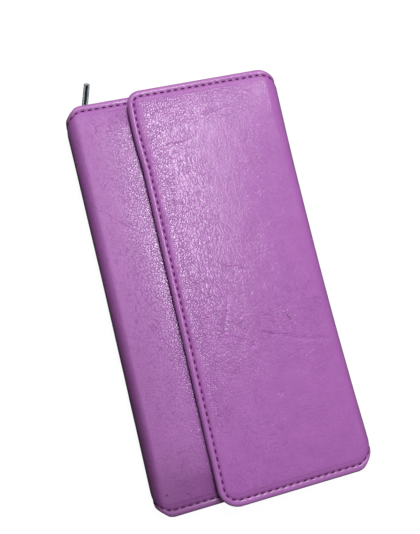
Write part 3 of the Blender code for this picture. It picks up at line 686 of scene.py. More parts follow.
def wrap_leather(name, path, edge_x, low_y, high_y, low_corner, high_corner, steps,
                 seed, creases=(), bordered=True, crinkled=even_grain):
    """One length of the strip, with its edges turned in, and the seams that it carries."""
    profile = edge_profile()
    insets, sinks, shares = profile.T
    margins = (shares == 1) & (insets > under_roll)
    grid = StripGrid(path, edge_x, low_y, high_y, low_corner, high_corner, insets,
                     steps, near_band, end_stitch_share, margins, bordered)
    s, y = grid.s, grid.y
    on_border = grid.level > 0
    from_seam = grid.from_edge - stitch_inset
    fold_share = path.on_panel(s, panel_run)
    drop = fold_drop + (path.drop - fold_drop) * fold_share
    depth = drop * (1 - np.clip(from_seam / puff_run, 0, 1)) ** drop_power
    lowered = np.clip((grid.end_gap - stitch_inset) / end_sag_run, 0, 1)
    sag = end_sag * (path.drop / padded_drop) * fold_share
    depth += sag * (1 - lowered) ** end_sag_power
    short = 1 - np.clip((s - path.flat_from + crown_start) / path.crown_run, 0, 1)
    depth -= path.crown * ease(from_seam / path.edge_run) * (1 - short ** 2)
    near = from_seam / groove_half
    depth += stitch_groove * np.exp(-near ** 2)
    sink = sinks[grid.level]
    share = shares[grid.level]
    top = np.where(on_border, 1 - np.clip(sink / edge_roll, 0, 1), 1.0)
    depth += sink + share * (path.wall_at(s) - edge_roll - under_roll - depth)
    base = path.place(s, y, depth)
    x = base[..., 0]

    rises = np.diff(sinks) + np.diff(shares) * path.wall
    walked = np.concatenate([[0], np.cumsum(np.hypot(np.diff(insets), rises))])
    run = walked[grid.level] + np.where(on_border, grid.corner - insets[0], 0.0)
    run = np.where(on_border, np.maximum(run, grid.corner - grid.inset), 0.0)
    across = grid.centre_s + run * np.cos(grid.angle)
    along = grid.centre_y + grid.upward * run * np.sin(grid.angle)
    uv = np.stack(on_strip_map(path, seed, across, along), axis=-1)

    swell = 0.0
    for height, width, length, shift in ((0.00006, 0.018, 0.026, 0.0), (0.00003, 0.006, 0.010, 5.3),
                                         (0.00002, 0.0026, 0.0050, 9.1)):
        swell = swell + height * bumps(across, along, width, length, seed + shift)
    for start, end, half_width, deep, bend in creases:
        swell = swell + crease(x, y, start, end, half_width, deep, bend)
    depth = depth - swell * top * past(grid.from_edge, swell_from, swell_run)

    stitch_level = int(np.argmin(np.abs(insets - stitch_inset)))
    seams = []
    for row in grid.seams(stitch_level):
        row = tuple(np.array(row).T)
        lengths = np.linalg.norm(np.diff(base[row], axis=0), axis=1)
        seams.append((row, np.concatenate([[0], np.cumsum(lengths)])))
    lengths = seams[0][1]
    walk = np.interp(grid.ring_place(stitch_level), np.arange(len(lengths)), lengths)
    pitch = lengths[-1] / max(round(lengths[-1] / stitch_pitch), 1)
    pressed = np.exp(-(near / 1.6) ** 2) * (share == 0)
    depth = depth - stitch_dimple * np.cos(2 * math.pi * walk / pitch) * pressed
    out, rise = path.normal(s)
    outward = np.stack([out, 0 * out, rise], axis=-1)
    mesh = grid_mesh(name, path.place(s, y, depth), uv, outward)

    tight = 1 - past(from_seam, tight_start, puff_run)
    bent = 4 * fold_share * (1 - fold_share)
    # The rolled border outside the seam gets a paler tint, a painted highlight.
    pale = np.clip((-rim_highlight_start - from_seam) / rim_highlight_run, 0, 1) * (share < 0.5)
    # The stitch groove gets a darker tint, painted shade in the groove, and a rougher gloss.
    groove = np.exp(-(near / 1.2) ** 2) * (share == 0)
    finish = {"flatness": np.clip(0.92 * tight + 0.35 * bent, 0, 1), **crinkled(x, y),
              "rim_highlight": pale, "groove": groove}
    for label, amounts in finish.items():
        kept = mesh.attributes.new(label, "FLOAT", "POINT")
        kept.data.foreach_set("value", (amounts + 0 * x).astype(np.float32).ravel())
    piece = add_object(name, mesh, leather)
    thicken(piece, skin)
    inner = path.place(s, y, path.wall_at(s) + lining_thickness)
    sewn = [(base[row], inner[row], outward[row], round(lengths[-1] / pitch), pitch)
            for row, lengths in seams]
    return piece, sewn


def fold_blend(piece, path):
    """Bake a piece's place into its mesh, whichever way its path turns."""
    if path.up > 0:
        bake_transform(piece)
    else:
        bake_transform(piece)


def middle_seam(y):
    """The two halves of the back panel's leather meet on the wallet's middle line."""
    return 0.0 * y


def flap_edge(y):
    """The flap's free edge, which slants a little and swells near its upper corner."""
    slant = flap_edge_x + flap_slant * y / half_length
    return slant - flap_swell * past(y, 0.055, 0.02) * (1 - past(y, 0.078, 0.02))


def front_edge(y):
    """The front panel's free edge, which lies hidden under the flap."""
    return front_edge_x + 0.0 * y


fold_steps = (8, 22)
right_back = FoldPath(1, 0.0, flap_level / 2, right_fold_x, right_radius, right_bow, back_wall, back_drop)
left_back = FoldPath(-1, 0.0, front_level / 2, left_fold_x, left_radius, left_bow, back_wall, back_drop)
back_seams = []
for name, path, body, seed in (("back_leather_right", right_back, "right_spine", 1.0),
                               ("back_leather_left", left_back, "left_spine", 2.0)):
    piece, seams = wrap_leather(name, path, middle_seam, -half_length, half_length, back_corner,
                                back_corner, (*fold_steps, 40, 190), seed, bordered=False)
    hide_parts("back_cover", body + "_cover")
    fold_blend(piece, path)
    wide = path.across(0.0)
    tall = 2 * (half_length + path.wall + turned_margin)
    back_seams.append(seams)


# The front panel's leather, which comes off the left fold and ends under the flap. It is
# padded, and sewn along both ends and the free edge.
front_path = FoldPath(-1, front_level, front_level / 2, left_fold_x, left_radius, left_bow,
                      padded_wall, padded_drop, crown=0.0014, run=0.045, edge_run=0.014)
front_corner = 0.0065
front_creases = (
    ((-0.0480, 0.0482), (-0.0295, 0.0301), 0.0005, 0.00005, 0.05),
    ((-0.0474, -0.0133), (-0.0343, -0.0197), 0.0005, 0.00005, 0.04),
    ((-0.0354, -0.0865), (-0.0343, -0.0895), 0.0004, 0.00018, 0.10),
)


def front_grain(x, y):
    """The front panel is most crinkled along the flap's edge and calm at its lower end. It has
    painted shade on the fold's side and a painted shadow under the flap's edge, it is darker
    towards its lower end and beside the fold's lower half, and its gloss grows from the fold
    towards the flap."""
    upper = 0.35 + 0.65 * past(y, -0.075, 0.06)
    # Painted shade on the left fold's side, deeper lower down, and a painted shadow along the flap's
    # edge. The panel is also made darker towards its lower end and beside the fold's lower half.
    fold = 0.62 * before(x, -0.0440, 0.0050) * (0.55 + 0.45 * before(y, 0.03, 0.10))
    end = 0.30 * before(y, -0.058, 0.03)
    beside = 0.12 * (1 - past(x, -0.046, 0.018)) * before(y, 0.02, 0.05)
    under_flap = 0.12 * past(x, flap_edge(y) - 0.0006, 0.0010) * before(y, 0.088, 0.006)
    gloss = np.clip((x + 0.047) / 0.022, 0, 1) ** (1.4 + 1.2 * before(y, 0.03, 0.04))
    return {"crinkle": 0.45 + 0.35 * past(x, -0.046, 0.016) * upper,
            "lie": 0.35 + 0.4 * before(y, -0.01, 0.05),
            "pebbled": 0.45 + 0.4 * past(x, -0.038, 0.008) * upper,
            "soil": np.maximum(np.maximum(fold, end + beside), under_flap),
            "matte": 1 - gloss}


def mark_leather(path, seed, creases, dots):
    """Press a length's creases in as fine lines, and stain it with dots, as (x, y, radius)."""
    def on_map(x, y):
        """Where a place on the panel lies on the strip map."""
        return (*on_strip_map(path, seed, float(path.across(x)), y), 0.0)

    press_lines([(on_map(*line[0]), on_map(*line[1]), line_half_width) for line in creases])
    stain_dots([(on_map(x, y), radius) for x, y, radius in dots])


front_leather, front_seams = wrap_leather(
    "front_leather", front_path, front_edge, -half_length, half_length, front_corner, front_corner,
    (*fold_steps, 56, 236), 3.0, front_creases, crinkled=front_grain)
mark_leather(front_path, 3.0, front_creases,
             ((-0.0465, 0.0905, 0.0005), (-0.0445, -0.0847, 0.0006), (-0.0355, -0.0865, 0.0004)))
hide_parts("front_panel_cover")
fold_blend(front_leather, front_path)


# The flap's leather, which comes off the right fold and closes over the front panel. It is
# padded and a little crowned, with wider corners than the front panel's.
flap_path = FoldPath(1, flap_level, flap_level / 2, right_fold_x, right_radius, right_bow,
                     padded_wall, padded_drop, crown=0.0003)
flap_low = -0.0970
flap_high = 0.0946
low_flap_corner = 0.0092
high_flap_corner = 0.0064
flap_creases = (
    ((-0.0038, -0.0242), (0.0084, -0.0313), 0.0007, 0.00020, -0.06),
    ((0.0131, -0.0260), (0.0427, -0.0360), 0.0008, 0.00018, 0.04),
    ((-0.0123, 0.0408), (-0.0079, 0.0380), 0.0005, 0.00022, 0.08),
    ((-0.0100, 0.0658), (0.0016, 0.0674), 0.0006, 0.00012, 0.05),
    ((0.0116, 0.0770), (0.0253, 0.0794), 0.0007, 0.00016, -0.05),
    ((0.0215, 0.0874), (0.0381, 0.0835), 0.0008, 0.00012, 0.05),
    ((0.0004, -0.0093), (-0.0038, -0.0224), 0.0007, 0.00012, 0.04),
    ((0.0119, -0.0557), (0.0153, -0.0539), 0.0005, 0.00016, 0.05),
    ((0.0031, 0.0067), (0.0144, 0.0028), 0.0006, 0.00014, 0.05),
)


def flap_grain(x, y):
    """The flap is most crinkled along its free edge and its top, and calm by the fold."""
    from_edge = x + 0.0230
    side = 1 - past(from_edge, 0.014, 0.038)
    close = 0.9 * (1 - past(from_edge, 0.009, 0.010)) * (1 - 0.75 * before(y, -0.055, 0.02))
    top = past(y, 0.052, 0.025) * (1 - 0.8 * past(x, 0.022, 0.016))
    band = np.exp(-((y + 0.022) / 0.016) ** 2) * (1 - 0.5 * past(x, 0.01, 0.03))
    lower = 1 - 0.72 * before(y, -0.022, 0.035)
    strength = np.maximum(np.maximum(side * lower, 0.65 * top), np.maximum(0.75 * band, close))
    lie = 0.10 + 0.9 * band + 0.55 * before(y, -0.03, 0.03) + 0.30 * past(y, 0.074, 0.012)
    pebbled = np.maximum(0.8 * (1 - past(from_edge, 0.008, 0.012)), 0.75 * past(y, 0.066, 0.01))
    return {"crinkle": 0.22 + 0.78 * strength, "lie": np.clip(lie, 0, 1), "pebbled": pebbled,
            "soil": 0.0, "matte": 0.0}


flap_leather, flap_seams = wrap_leather(
    "flap_leather", flap_path, flap_edge, flap_low, flap_high, low_flap_corner, high_flap_corner,
    (*fold_steps, 84, 236), 4.0, flap_creases, crinkled=flap_grain)
mark_leather(flap_path, 4.0, flap_creases,
             [(0.0264 + 0.0006 * t, -0.0222 - 0.0011 * t, 0.0004) for t in (-1, -0.5, 0, 0.5, 1)])
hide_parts("flap_cover")
fold_blend(flap_leather, flap_path)


# The seams. A plum twisted thread runs along the strip's ends and the free edges, in
# stitches 2.3 mm long that sink into their holes, and shows inside on the lining too.
thread_length = 0.00245
thread_half_width = 0.00030
thread_half_height = 0.00022
thread_lift = 0.00016
thread_dive = 0.00045


def shape_mesh(name, shape):
    """A mesh from a finished shape."""
    mesh = bpy.data.meshes.new(name)
    shape.to_mesh(mesh)
    shape.free()
    return mesh


def smooth_mesh(name, shape, sharp_angle=None):
    """A smooth-shaded mesh from a finished shape, with its edges sharp past an angle."""
    bmesh.ops.recalc_face_normals(shape, faces=shape.faces)
    mesh = shape_mesh(name, shape)
    mesh.shade_smooth()
    if sharp_angle:
        mesh.set_sharp_from_angle(angle=math.radians(sharp_angle))
    return mesh


def bridge(shape, loops, closed=False, capped=True):
    """Bridge loops of points in turn, and cap their two ends or join them."""
    rows = [[shape.verts.new(spot) for spot in loop] for loop in loops]
    for near, far in zip(rows, rows[1:] + rows[:1] if closed else rows[1:]):
        for k in range(len(near)):
            j = (k + 1) % len(near)
            shape.faces.new((near[k], near[j], far[j], far[k]))
    if capped and not closed:
        shape.faces.new(rows[0][::-1])
        shape.faces.new(rows[-1])
    return rows


def bridged(name, loops, sharp_angle=None, closed=False):
    """A smooth mesh bridged from loops of points."""
    shape = bmesh.new()
    bridge(shape, loops, closed)
    return smooth_mesh(name, shape, sharp_angle)


def thread_stitch():
    """One stitch of two-ply thread, along X, with its ends bent down into the holes."""
    rings = []
    for share in (-0.97, -0.72, -0.40, 0.0, 0.40, 0.72, 0.97):
        wide = (1 - abs(share) ** 3.5) ** 0.5
        sunk = thread_lift - thread_dive * share ** 4
        ring = []
        for step in range(8):
            angle = 2 * math.pi * step / 8
            lobe = 1 + 0.16 * math.cos(2 * (angle - 1.6 * share))
            ring.append((share * thread_length / 2,
                         math.cos(angle) * thread_half_width * wide * lobe,
                         sunk + math.sin(angle) * thread_half_height * wide * lobe))
        rings.append(ring)
    return bridged("stitch", rings)


def growing_tree(name, inputs):
    """A geometry tree with named inputs after its first, the line that it follows."""
    made = bpy.data.node_groups.new(name, "GeometryNodeTree")
    made.interface.new_socket("Line", in_out="INPUT", socket_type="NodeSocketGeometry")
    for socket, kind in inputs:
        made.interface.new_socket(socket, in_out="INPUT", socket_type="NodeSocket" + kind)
    made.interface.new_socket("Mesh", in_out="OUTPUT", socket_type="NodeSocketGeometry")
    return made, made.nodes.new("NodeGroupInput"), made.nodes.new("NodeGroupOutput")


along_line, given, result = growing_tree(
    "copies_along_a_line",
    [("Copied", "Object"), ("Count", "Int"), ("Pitch", "Float"), ("Offset", "Float"),
     ("Finish", "Material")])
curve = add_node(along_line, "GeometryNodeMeshToCurve", {"Mesh": given.outputs["Line"]})
spots = add_node(along_line, "GeometryNodePoints", {"Count": given.outputs["Count"]})
number = add_node(along_line, "GeometryNodeInputIndex")
walked = math_node(along_line, "MULTIPLY_ADD", number.outputs[0], given.outputs["Pitch"],
                   given.outputs["Offset"])
rising = add_node(along_line, "GeometryNodeInputNamedAttribute", {"Name": "outward"},
                  data_type="FLOAT_VECTOR")
found = add_node(along_line, "GeometryNodeSampleCurve", {
    "Curves": curve.outputs[0], "Value": rising.outputs[0], "Length": walked},
    mode="LENGTH", data_type="FLOAT_VECTOR")
placed = add_node(along_line, "GeometryNodeSetPosition", {
    "Geometry": spots.outputs[0], "Position": found.outputs["Position"]})
facing = add_node(along_line, "FunctionNodeAxesToRotation", {
    "Primary Axis": found.outputs["Value"], "Secondary Axis": found.outputs["Tangent"]},
    primary_axis="Z", secondary_axis="X")
copied = add_node(along_line, "GeometryNodeObjectInfo", {"Object": given.outputs["Copied"]})
copies = add_node(along_line, "GeometryNodeInstanceOnPoints", {
    "Points": placed.outputs[0], "Instance": copied.outputs["Geometry"],
    "Rotation": facing.outputs[0]})
plain = add_node(along_line, "GeometryNodeRealizeInstances", {"Geometry": copies.outputs[0]})
finished = add_node(along_line, "GeometryNodeSetMaterial", {
    "Geometry": plain.outputs[0], "Material": given.outputs["Finish"]})
along_line.links.new(finished.outputs[0], result.inputs[0])


def grow(tree, line, **values):
    """Run a geometry tree on a mesh, with its named inputs set, and return a plain mesh."""
    holder = bpy.data.objects.new("growing", line)
    bpy.context.scene.collection.objects.link(holder)
    step = holder.modifiers.new("grow", "NODES")
    step.node_group = tree
    for item in tree.interface.items_tree:
        if item.in_out == "INPUT" and item.name in values:
            step[item.identifier] = values[item.name]
    seen = holder.evaluated_get(bpy.context.evaluated_depsgraph_get())
    mesh = bpy.data.meshes.new_from_object(seen)
    bpy.data.objects.remove(holder)
    return mesh


def line_mesh(points, outward):
    """A mesh of one open line, with the outward direction kept at each of its points."""
    mesh = bpy.data.meshes.new("line")
    mesh.from_pydata([tuple(map(float, spot)) for spot in points],
                     [(k, k + 1) for k in range(len(points) - 1)], [])
    rising = mesh.attributes.new("outward", "FLOAT_VECTOR", "POINT")
    rising.data.foreach_set("vector", np.asarray(outward, np.float32).ravel())
    return mesh


def copies_on(name, lines, copied, finish):
    """Copies of a small shape along lines, as one plain piece."""
    shape = bmesh.new()
    for points, outward, count, pitch, offset in lines:
        grown = grow(along_line, line_mesh(points, outward), Copied=copied, Count=count,
                     Pitch=pitch, Offset=offset, Finish=finish)
        shape.from_mesh(grown)
        bpy.data.meshes.remove(grown)
    return add_object(name, shape_mesh(name, shape), finish)


thread, tree, output = new_material("plum_thread")
spot = add_node(tree, "ShaderNodeTexCoord").outputs["Object"]
strands = noise_node(tree, spot, 5200.0, 2.0, 0.6)
shade = colour_node(tree, range_node(tree, strands, 0.35, 0.65), paint(70, 12, 62),
                    paint(112, 36, 100))
add_surface(tree, output, shade, 0.7, strands, 0.5, 0.0001, Specular_IOR_Level=0.2)

stitch = bpy.data.objects.new("stitch", thread_stitch())
bpy.context.scene.collection.objects.link(stitch)


def inner_path(path, reach):
    """The path of the lining, which turns inside the leather's corner."""
    return FoldPath(path.side, path.level - path.up * path.wall,
                    path.level - path.up * (path.straight + path.radius), path.fold_x, reach,
                    0.0, 0.0, 0.0)


right_reach = 0.00337
left_reach = 0.00208
inner_share = 0.985
lengths = [("back_right", right_back, inner_path(right_back, right_reach), "back", "right_spine"),
           ("back_left", left_back, inner_path(left_back, left_reach), "back", "left_spine"),
           ("front", front_path, inner_path(front_path, left_reach), "left_spine", "front_panel"),
           ("flap", flap_path, inner_path(flap_path, right_reach), "right_spine", "flap")]
all_seams = [*back_seams, front_seams, flap_seams]
for (name, path, inner, near_body, far_body), seams in zip(lengths, all_seams):
    lines = [(top, out, count, pitch, pitch / 2) for top, below, out, count, pitch in seams]
    sewn = copies_on(name + "_outer_thread", lines, stitch, thread)
    fold_blend(sewn, path)
    lines = [(below, -out, count - 1, pitch * inner_share, pitch)
             for top, below, out, count, pitch in seams]
    sewn = copies_on(name + "_inner_thread", lines, stitch, thread)
    fold_blend(sewn, inner)


# The lining. A plum twill cloth covers the inside of the strip and hides the leather's
# turned edge. Its own edge is folded under and caught by the same seams.
lining_end_inset = 0.0017
lining_side_inset = 0.0021
lining_sag = 0.00022
lining_near = 0.0010
lining_swell = 0.00006
lining_roll = 0.00015
lining_roll_run = 0.0005
flap_lining_low = -0.0949

cloth, inside, outside = new_group(
    "woven_cloth", [("Vector", "Vector"), ("Threads", "Float"), ("Lean", "Float")],
    [("Height", "Float"), ("Fuzz", "Float"), ("Wear", "Float")])
place = vector_node(cloth, "SCALE", inside.outputs["Vector"], scale=inside.outputs["Threads"])
split = add_node(cloth, "ShaderNodeSeparateXYZ", {0: place})
ribs = scaled(cloth, split.outputs["Y"], inside.outputs["Lean"], split.outputs["X"])
warp = math_node(cloth, "SINE", scaled(cloth, ribs, 2 * math.pi))
weft = math_node(cloth, "SINE", scaled(cloth, split.outputs["Y"], 2 * math.pi))
weave = scaled(cloth, warp, 0.35, scaled(cloth, weft, 0.15, 0.5))
fuzz = noise_node(cloth, place, 1.7, 2.0, 0.7)
cloth.links.new(scaled(cloth, fuzz, 0.4, weave), outside.inputs["Height"])
cloth.links.new(fuzz, outside.inputs["Fuzz"])
cloth.links.new(noise_node(cloth, inside.outputs["Vector"], 38.0, 3.0), outside.inputs["Wear"])


def cloth_material(name, dark, light, threads, lean, uv_map, depth):
    """A woven cloth's finish, on a UV map, or on the piece's own place."""
    made, tree, output = new_material(name)
    if uv_map:
        spot = add_node(tree, "ShaderNodeUVMap", uv_map=uv_map).outputs["UV"]
    else:
        spot = add_node(tree, "ShaderNodeTexCoord").outputs["Object"]
    woven = add_node(tree, "ShaderNodeGroup", {"Vector": spot, "Threads": threads, "Lean": lean},
                     node_tree=cloth)
    height = woven.outputs["Height"]
    tone = math_node(tree, "MULTIPLY_ADD", height, 0.6, scaled(tree, woven.outputs["Wear"], 0.5),
                     clamp=True)
    rough = range_node(tree, woven.outputs["Fuzz"], 0.3, 0.7, 0.66, 0.85)
    add_surface(tree, output, colour_node(tree, tone, paint(*dark), paint(*light)), rough, height,
                0.8, depth, Sheen_Weight=0.25, Sheen_Roughness=0.4)
    return made


plum_cloth = cloth_material("plum_lining", (70, 26, 66), (112, 52, 106), 1400.0, 0.5, "strip", 0.00008)


def lay_lining(name, path, edge_x, low_y, high_y, low_corner, high_corner, steps, bordered, seed):
    """The cloth inside one length of the strip."""
    insets = np.array([0.006, 0.0045, 0.0032, 0.0020, 0.0010, 0.0006, 0.0003, 0.0001, 0.0])
    margins = np.zeros(len(insets), bool)
    grid = StripGrid(path, edge_x, low_y, high_y, low_corner, high_corner, insets, steps,
                     lining_near, 1.0, margins, bordered)
    depth = lining_thickness - lining_roll * (1 - np.clip(grid.from_edge / lining_roll_run, 0, 1)) ** 2
    depth -= lining_sag * past(grid.from_edge, 0.0024, 0.003) * path.on_panel(grid.s, panel_run)
    lumps = bumps(grid.s, grid.y, 0.018, 0.022, seed)
    depth += lining_swell * lumps * past(grid.from_edge, 0.003, 0.006)
    uv = np.stack([grid.s * path.side + up_shift * path.up, grid.y + 0.41 * seed], axis=-1)
    out, rise = path.normal(grid.s)
    outward = np.stack([-out, 0 * out, -rise], axis=-1)
    mesh = grid_mesh(name, path.place(grid.s, grid.y, depth), uv, outward)
    piece = add_object(name, mesh, plum_cloth)
    thicken(piece, lining_thickness * 0.9)
    wide = grid.s.max(axis=0) - grid.s.min(axis=0)
    return piece, float(wide.max()), float(grid.y.max() - grid.y.min())


def inset_edge(edge, side):
    """A free edge's line, moved in for the lining."""
    return lambda y: edge(y) + side * lining_side_inset


end_y = half_length - lining_end_inset
back_cut = (middle_seam, -end_y, end_y, 0.006, 0.006, (6, 12, 26, 120), False)
front_cut = (inset_edge(front_edge, -1), -end_y, end_y, 0.0045, 0.0045, (6, 12, 30, 120), True)
flap_cut = (inset_edge(flap_edge, 1), flap_lining_low, flap_high - lining_end_inset,
            0.0070, 0.0045, (6, 12, 40, 120), True)
lined = [(11.0, back_cut, "back_board", ("back_lining", "right_spine_lining")),
         (12.0, back_cut, "back_board", ("back_lining", "left_spine_lining")),
         (13.0, front_cut, "front_panel_board", ("front_panel_lining",)),
         (14.0, flap_cut, "flap_board", ("flap_lining",))]
for (name, path, inner, near_body, far_body), (seed, cut, board, covered) in zip(lengths, lined):
    piece, wide, tall = lay_lining(name + "_cloth", inner, *cut, seed)
    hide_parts(*covered)
    fold_blend(piece, inner)


# The cheque sleeve. It is a thin sheet of the same leather over the back panel's lining,
# sewn along its ends and by the right fold, with a thumb notch in its open edge.
sheet_round = 0.00018
crease_inset = 0.0016
crease_depth = 0.00012
sleeve_low = 0.0035
sleeve_high = 0.0041
pocket_end = 0.0880
sleeve_mouth = -0.0260
pocket_fold = 0.0423
notch_radius = 0.0110
pocket_corner = 0.0012


def loft(name, rings, finish, closed=False):
    """Bridge a stack of rings, given as (outline, height), and cap or close its ends."""
    loops = [[(*spot, z) for spot in outline] for outline, z in rings]
    return add_object(name, bridged(name, loops, 40, closed), finish)


def corner_arc(x, y, radius, first, steps=6):
    """A quarter of a circle about a place, from a direction in degrees."""
    turns = [math.radians(first + 90 * step / steps) for step in range(steps + 1)]
    return [(x + radius * math.cos(turn), y + radius * math.sin(turn)) for turn in turns]


def rounded_box(low_x, low_y, high_x, high_y, radius, inset=0.0, steps=6):
    """A rectangle with round corners, anticlockwise, moved in by an inset."""
    radius = max(radius - inset, 0.00005)
    low_x, low_y = low_x + inset + radius, low_y + inset + radius
    high_x, high_y = high_x - inset - radius, high_y - inset - radius
    corners = ((high_x, low_y, -90), (high_x, high_y, 0), (low_x, high_y, 90), (low_x, low_y, 180))
    return [spot for x, y, first in corners for spot in corner_arc(x, y, radius, first, steps)]


def sleeve_outline(inset):
    """The sleeve's edge moved in, with the thumb notch in the middle of its mouth."""
    spots = rounded_box(sleeve_mouth, -pocket_end, pocket_fold, pocket_end, pocket_corner, inset)
    radius = notch_radius + inset
    turn = math.asin(inset / radius)
    angles = [turn + (math.pi - 2 * turn) * step / 24 for step in range(25)]
    notch = [(sleeve_mouth + radius * math.sin(angle), radius * math.cos(angle)) for angle in angles]
    three_corners = 3 * len(corner_arc(0, 0, radius, 0))
    return spots[:three_corners] + notch + spots[three_corners:]


def sheet_rings(outline, low, high, visible_up=True):
    """The rings of a thin sheet with rounded edges and a pressed line inside its edge."""
    rings = [(crease_inset + 0.0005, 0.0), (crease_inset + 0.0002, crease_depth),
             (crease_inset - 0.0002, crease_depth), (crease_inset - 0.0005, 0.0), (0.0009, 0.00002),
             (0.0005, 0.00006), (sheet_round, 0.00010), (0.00004, 0.00016),
             (0.0, high - low - 0.00012), (0.00012, high - low)]
    if visible_up:
        return [(outline(inset), high - depth) for inset, depth in rings][::-1]
    return [(outline(inset), low + depth) for inset, depth in rings]


pocket_leather, tree, output = new_material("pocket_leather")
spot = add_node(tree, "ShaderNodeTexCoord").outputs["Object"]
grained = add_node(tree, "ShaderNodeGroup", {
    "Vector": spot, "Pebble Scale": 0.95, "Wrinkle Scale": 0.75, "Wrinkle Depth": 0.07,
    "Flatness": 0.25, "Crinkle": 0.5, "Lie": 0.0}, node_tree=grain)
mottle = grained.outputs["Mottle"]
tones = colour_node(tree, range_node(tree, mottle, 0.3, 0.7), paint(158, 92, 168), paint(172, 106, 180))
# The darker tint in the grain's valleys is painted shade in the cracks.
sunk = colour_node(tree, scaled(tree, grained.outputs["Valleys"], 0.4), tones, paint(128, 66, 138))
add_surface(tree, output, sunk, range_node(tree, mottle, 0.2, 0.8, 0.38, 0.50),
            grained.outputs["Height"], 0.9, 0.001, Coat_Weight=0.12, Coat_Roughness=0.3)

sleeve = loft("cheque_sleeve_leather", sheet_rings(sleeve_outline, sleeve_low, sleeve_high),
              pocket_leather)
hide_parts("cheque_sleeve")
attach(sleeve, "back")


# The card slots. Two columns of three thin leather sheets step towards the right fold,
# each open along its left edge, and one seam round each column sews them down.
slot_low = 0.0044
slot_rise = 0.0008
slot_sheet = 0.0005
first_mouth = -0.0140
mouth_step = 0.0090
column_gap = 0.0020
seam_inset = 0.0016
pocket_pitch = 0.0030
mouth_margin = 0.0008
thread_sink = 0.00008
columns = (("lower", -pocket_end, -column_gap / 2), ("upper", column_gap / 2, pocket_end))
mouths = [first_mouth + layer * mouth_step for layer in range(3)]

for column, low_y, high_y in columns:
    for layer, mouth in enumerate(mouths):
        low = slot_low + layer * slot_rise

        def slot_outline(inset):
            """One slot's edge, moved in."""
            return rounded_box(mouth, low_y, pocket_fold, high_y, pocket_corner, inset)

        node = f"{column}_card_slot_{layer + 1}"
        slot = loft(node + "_leather", sheet_rings(slot_outline, low, low + slot_sheet),
                    pocket_leather)
        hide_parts(node)
        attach(slot, "back")


def seam_line(corners, towards=1.0):
    """A straight-sided seam through given points, with its stitches' number and pitch."""
    spots = [np.array(corner) for corner in corners]
    walked = sum(float(np.linalg.norm(b - a)) for a, b in zip(spots, spots[1:]))
    count = max(round(walked / pocket_pitch), 1)
    out = np.tile((0.0, 0.0, towards), (len(spots), 1))
    return spots, out, count, walked / count, walked / count / 2


def slot_height(x):
    """The top of the stepped card slots, or of the sleeve to their left."""
    if x < first_mouth:
        return sleeve_high
    return slot_low + min(int((x - first_mouth) / mouth_step), 2) * slot_rise + slot_sheet


pocket_lines = []
right_x = pocket_fold - seam_inset
for column, low_y, high_y in columns:
    for y in (low_y + seam_inset, high_y - seam_inset):
        crossed = [sleeve_mouth, *mouths] if abs(y) > pocket_end / 2 else mouths
        starts = [mouth + mouth_margin for mouth in crossed]
        for start, end in zip(starts, [x - 2 * mouth_margin for x in starts[1:]] + [right_x]):
            height = slot_height(start) - thread_sink
            pocket_lines.append(seam_line([(start, y, height), (end, y, height)]))
    height = slot_height(right_x) - thread_sink
    pocket_lines.append(seam_line([(right_x, low_y + seam_inset, height),
                                   (right_x, high_y - seam_inset, height)]))
small_stitch = bpy.data.objects.new("small_stitch", thread_stitch())
small_stitch.data.transform(Matrix.Diagonal((0.80, 0.80, 0.80, 1)))
bpy.context.scene.collection.objects.link(small_stitch)
sewn = copies_on("card_slot_thread", pocket_lines, small_stitch, thread)
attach(sewn, "back")


# The flap's slip pocket. A leather frame on the flap's inside holds a clear pane behind
# its window, so that a card can be seen, and it opens towards the flap's free edge.
flap_pocket_low = 0.0188
flap_pocket_high = 0.0193
flap_pocket_mouth = -0.0020
window = (0.0040, -0.0390, 0.0363, 0.0390)
window_corner = 0.0030
pane_margin = 0.0030
pane_low = 0.0196
pane_high = 0.0199


def flap_pocket_outline(inset):
    """The frame's outer edge, moved in."""
    return rounded_box(flap_pocket_mouth, -pocket_end, pocket_fold, pocket_end, pocket_corner, inset)


def window_outline(grow):
    """The window's edge, moved outwards."""
    return rounded_box(*window, window_corner, -grow)


shown = sheet_rings(flap_pocket_outline, flap_pocket_low, flap_pocket_high, visible_up=False)
edge = [(0.0022, 0.0), (0.0018, crease_depth), (0.0014, crease_depth), (0.0011, 0.0),
        (0.0005, 0.00004), (sheet_round, 0.00010), (0.0, 0.00016)]
hole = [(window_outline(grown), flap_pocket_low + depth) for grown, depth in edge]
hole += [(window_outline(0.0), flap_pocket_high - 0.0001), (window_outline(0.0002), flap_pocket_high)]
frame_sheet = loft("flap_pocket_leather", hole[::-1] + shown, pocket_leather, closed=True)
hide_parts("flap_pocket")
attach(frame_sheet, "flap")
wide, tall = pocket_fold - flap_pocket_mouth, 2 * pocket_end

clear, tree, output = new_material("clear_pane")
spot = add_node(tree, "ShaderNodeTexCoord").outputs["Object"]
waves = noise_node(tree, spot, 60.0)
add_surface(tree, output, paint(232, 236, 240), range_node(tree, waves, 0.3, 0.7, 0.03, 0.10), waves,
            0.25, 0.0006, Transmission_Weight=1.0, IOR=1.45)

pane_box = (*(low - pane_margin for low in window[:2]), *(high + pane_margin for high in window[2:]))


def pane_outline(inset):
    """The pane's edge, moved in."""
    return rounded_box(*pane_box, window_corner + pane_margin, inset)


pane_round = 0.00006
pane_rings = [(pane_outline(inset), height) for inset, height in (
    (pane_round, pane_low), (0.0, pane_low + pane_round), (0.0, pane_high - pane_round),
    (pane_round, pane_high))]
pane = loft("window_pane", pane_rings, clear)
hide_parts("window_vinyl")
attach(pane, "flap")
side_x, end_y = pocket_fold - seam_inset, pocket_end - seam_inset
open_x = flap_pocket_mouth + 0.001
around = window_outline(0.0026)
frame_lines = [[(open_x, -end_y), (side_x, -end_y), (side_x, end_y), (open_x, end_y)],
               around + around[:1]]
frame_lines = [seam_line([(x, y, flap_pocket_low + thread_sink) for x, y in line], -1.0)
               for line in frame_lines]
sewn = copies_on("flap_pocket_thread", frame_lines, small_stitch, thread)
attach(sewn, "flap")


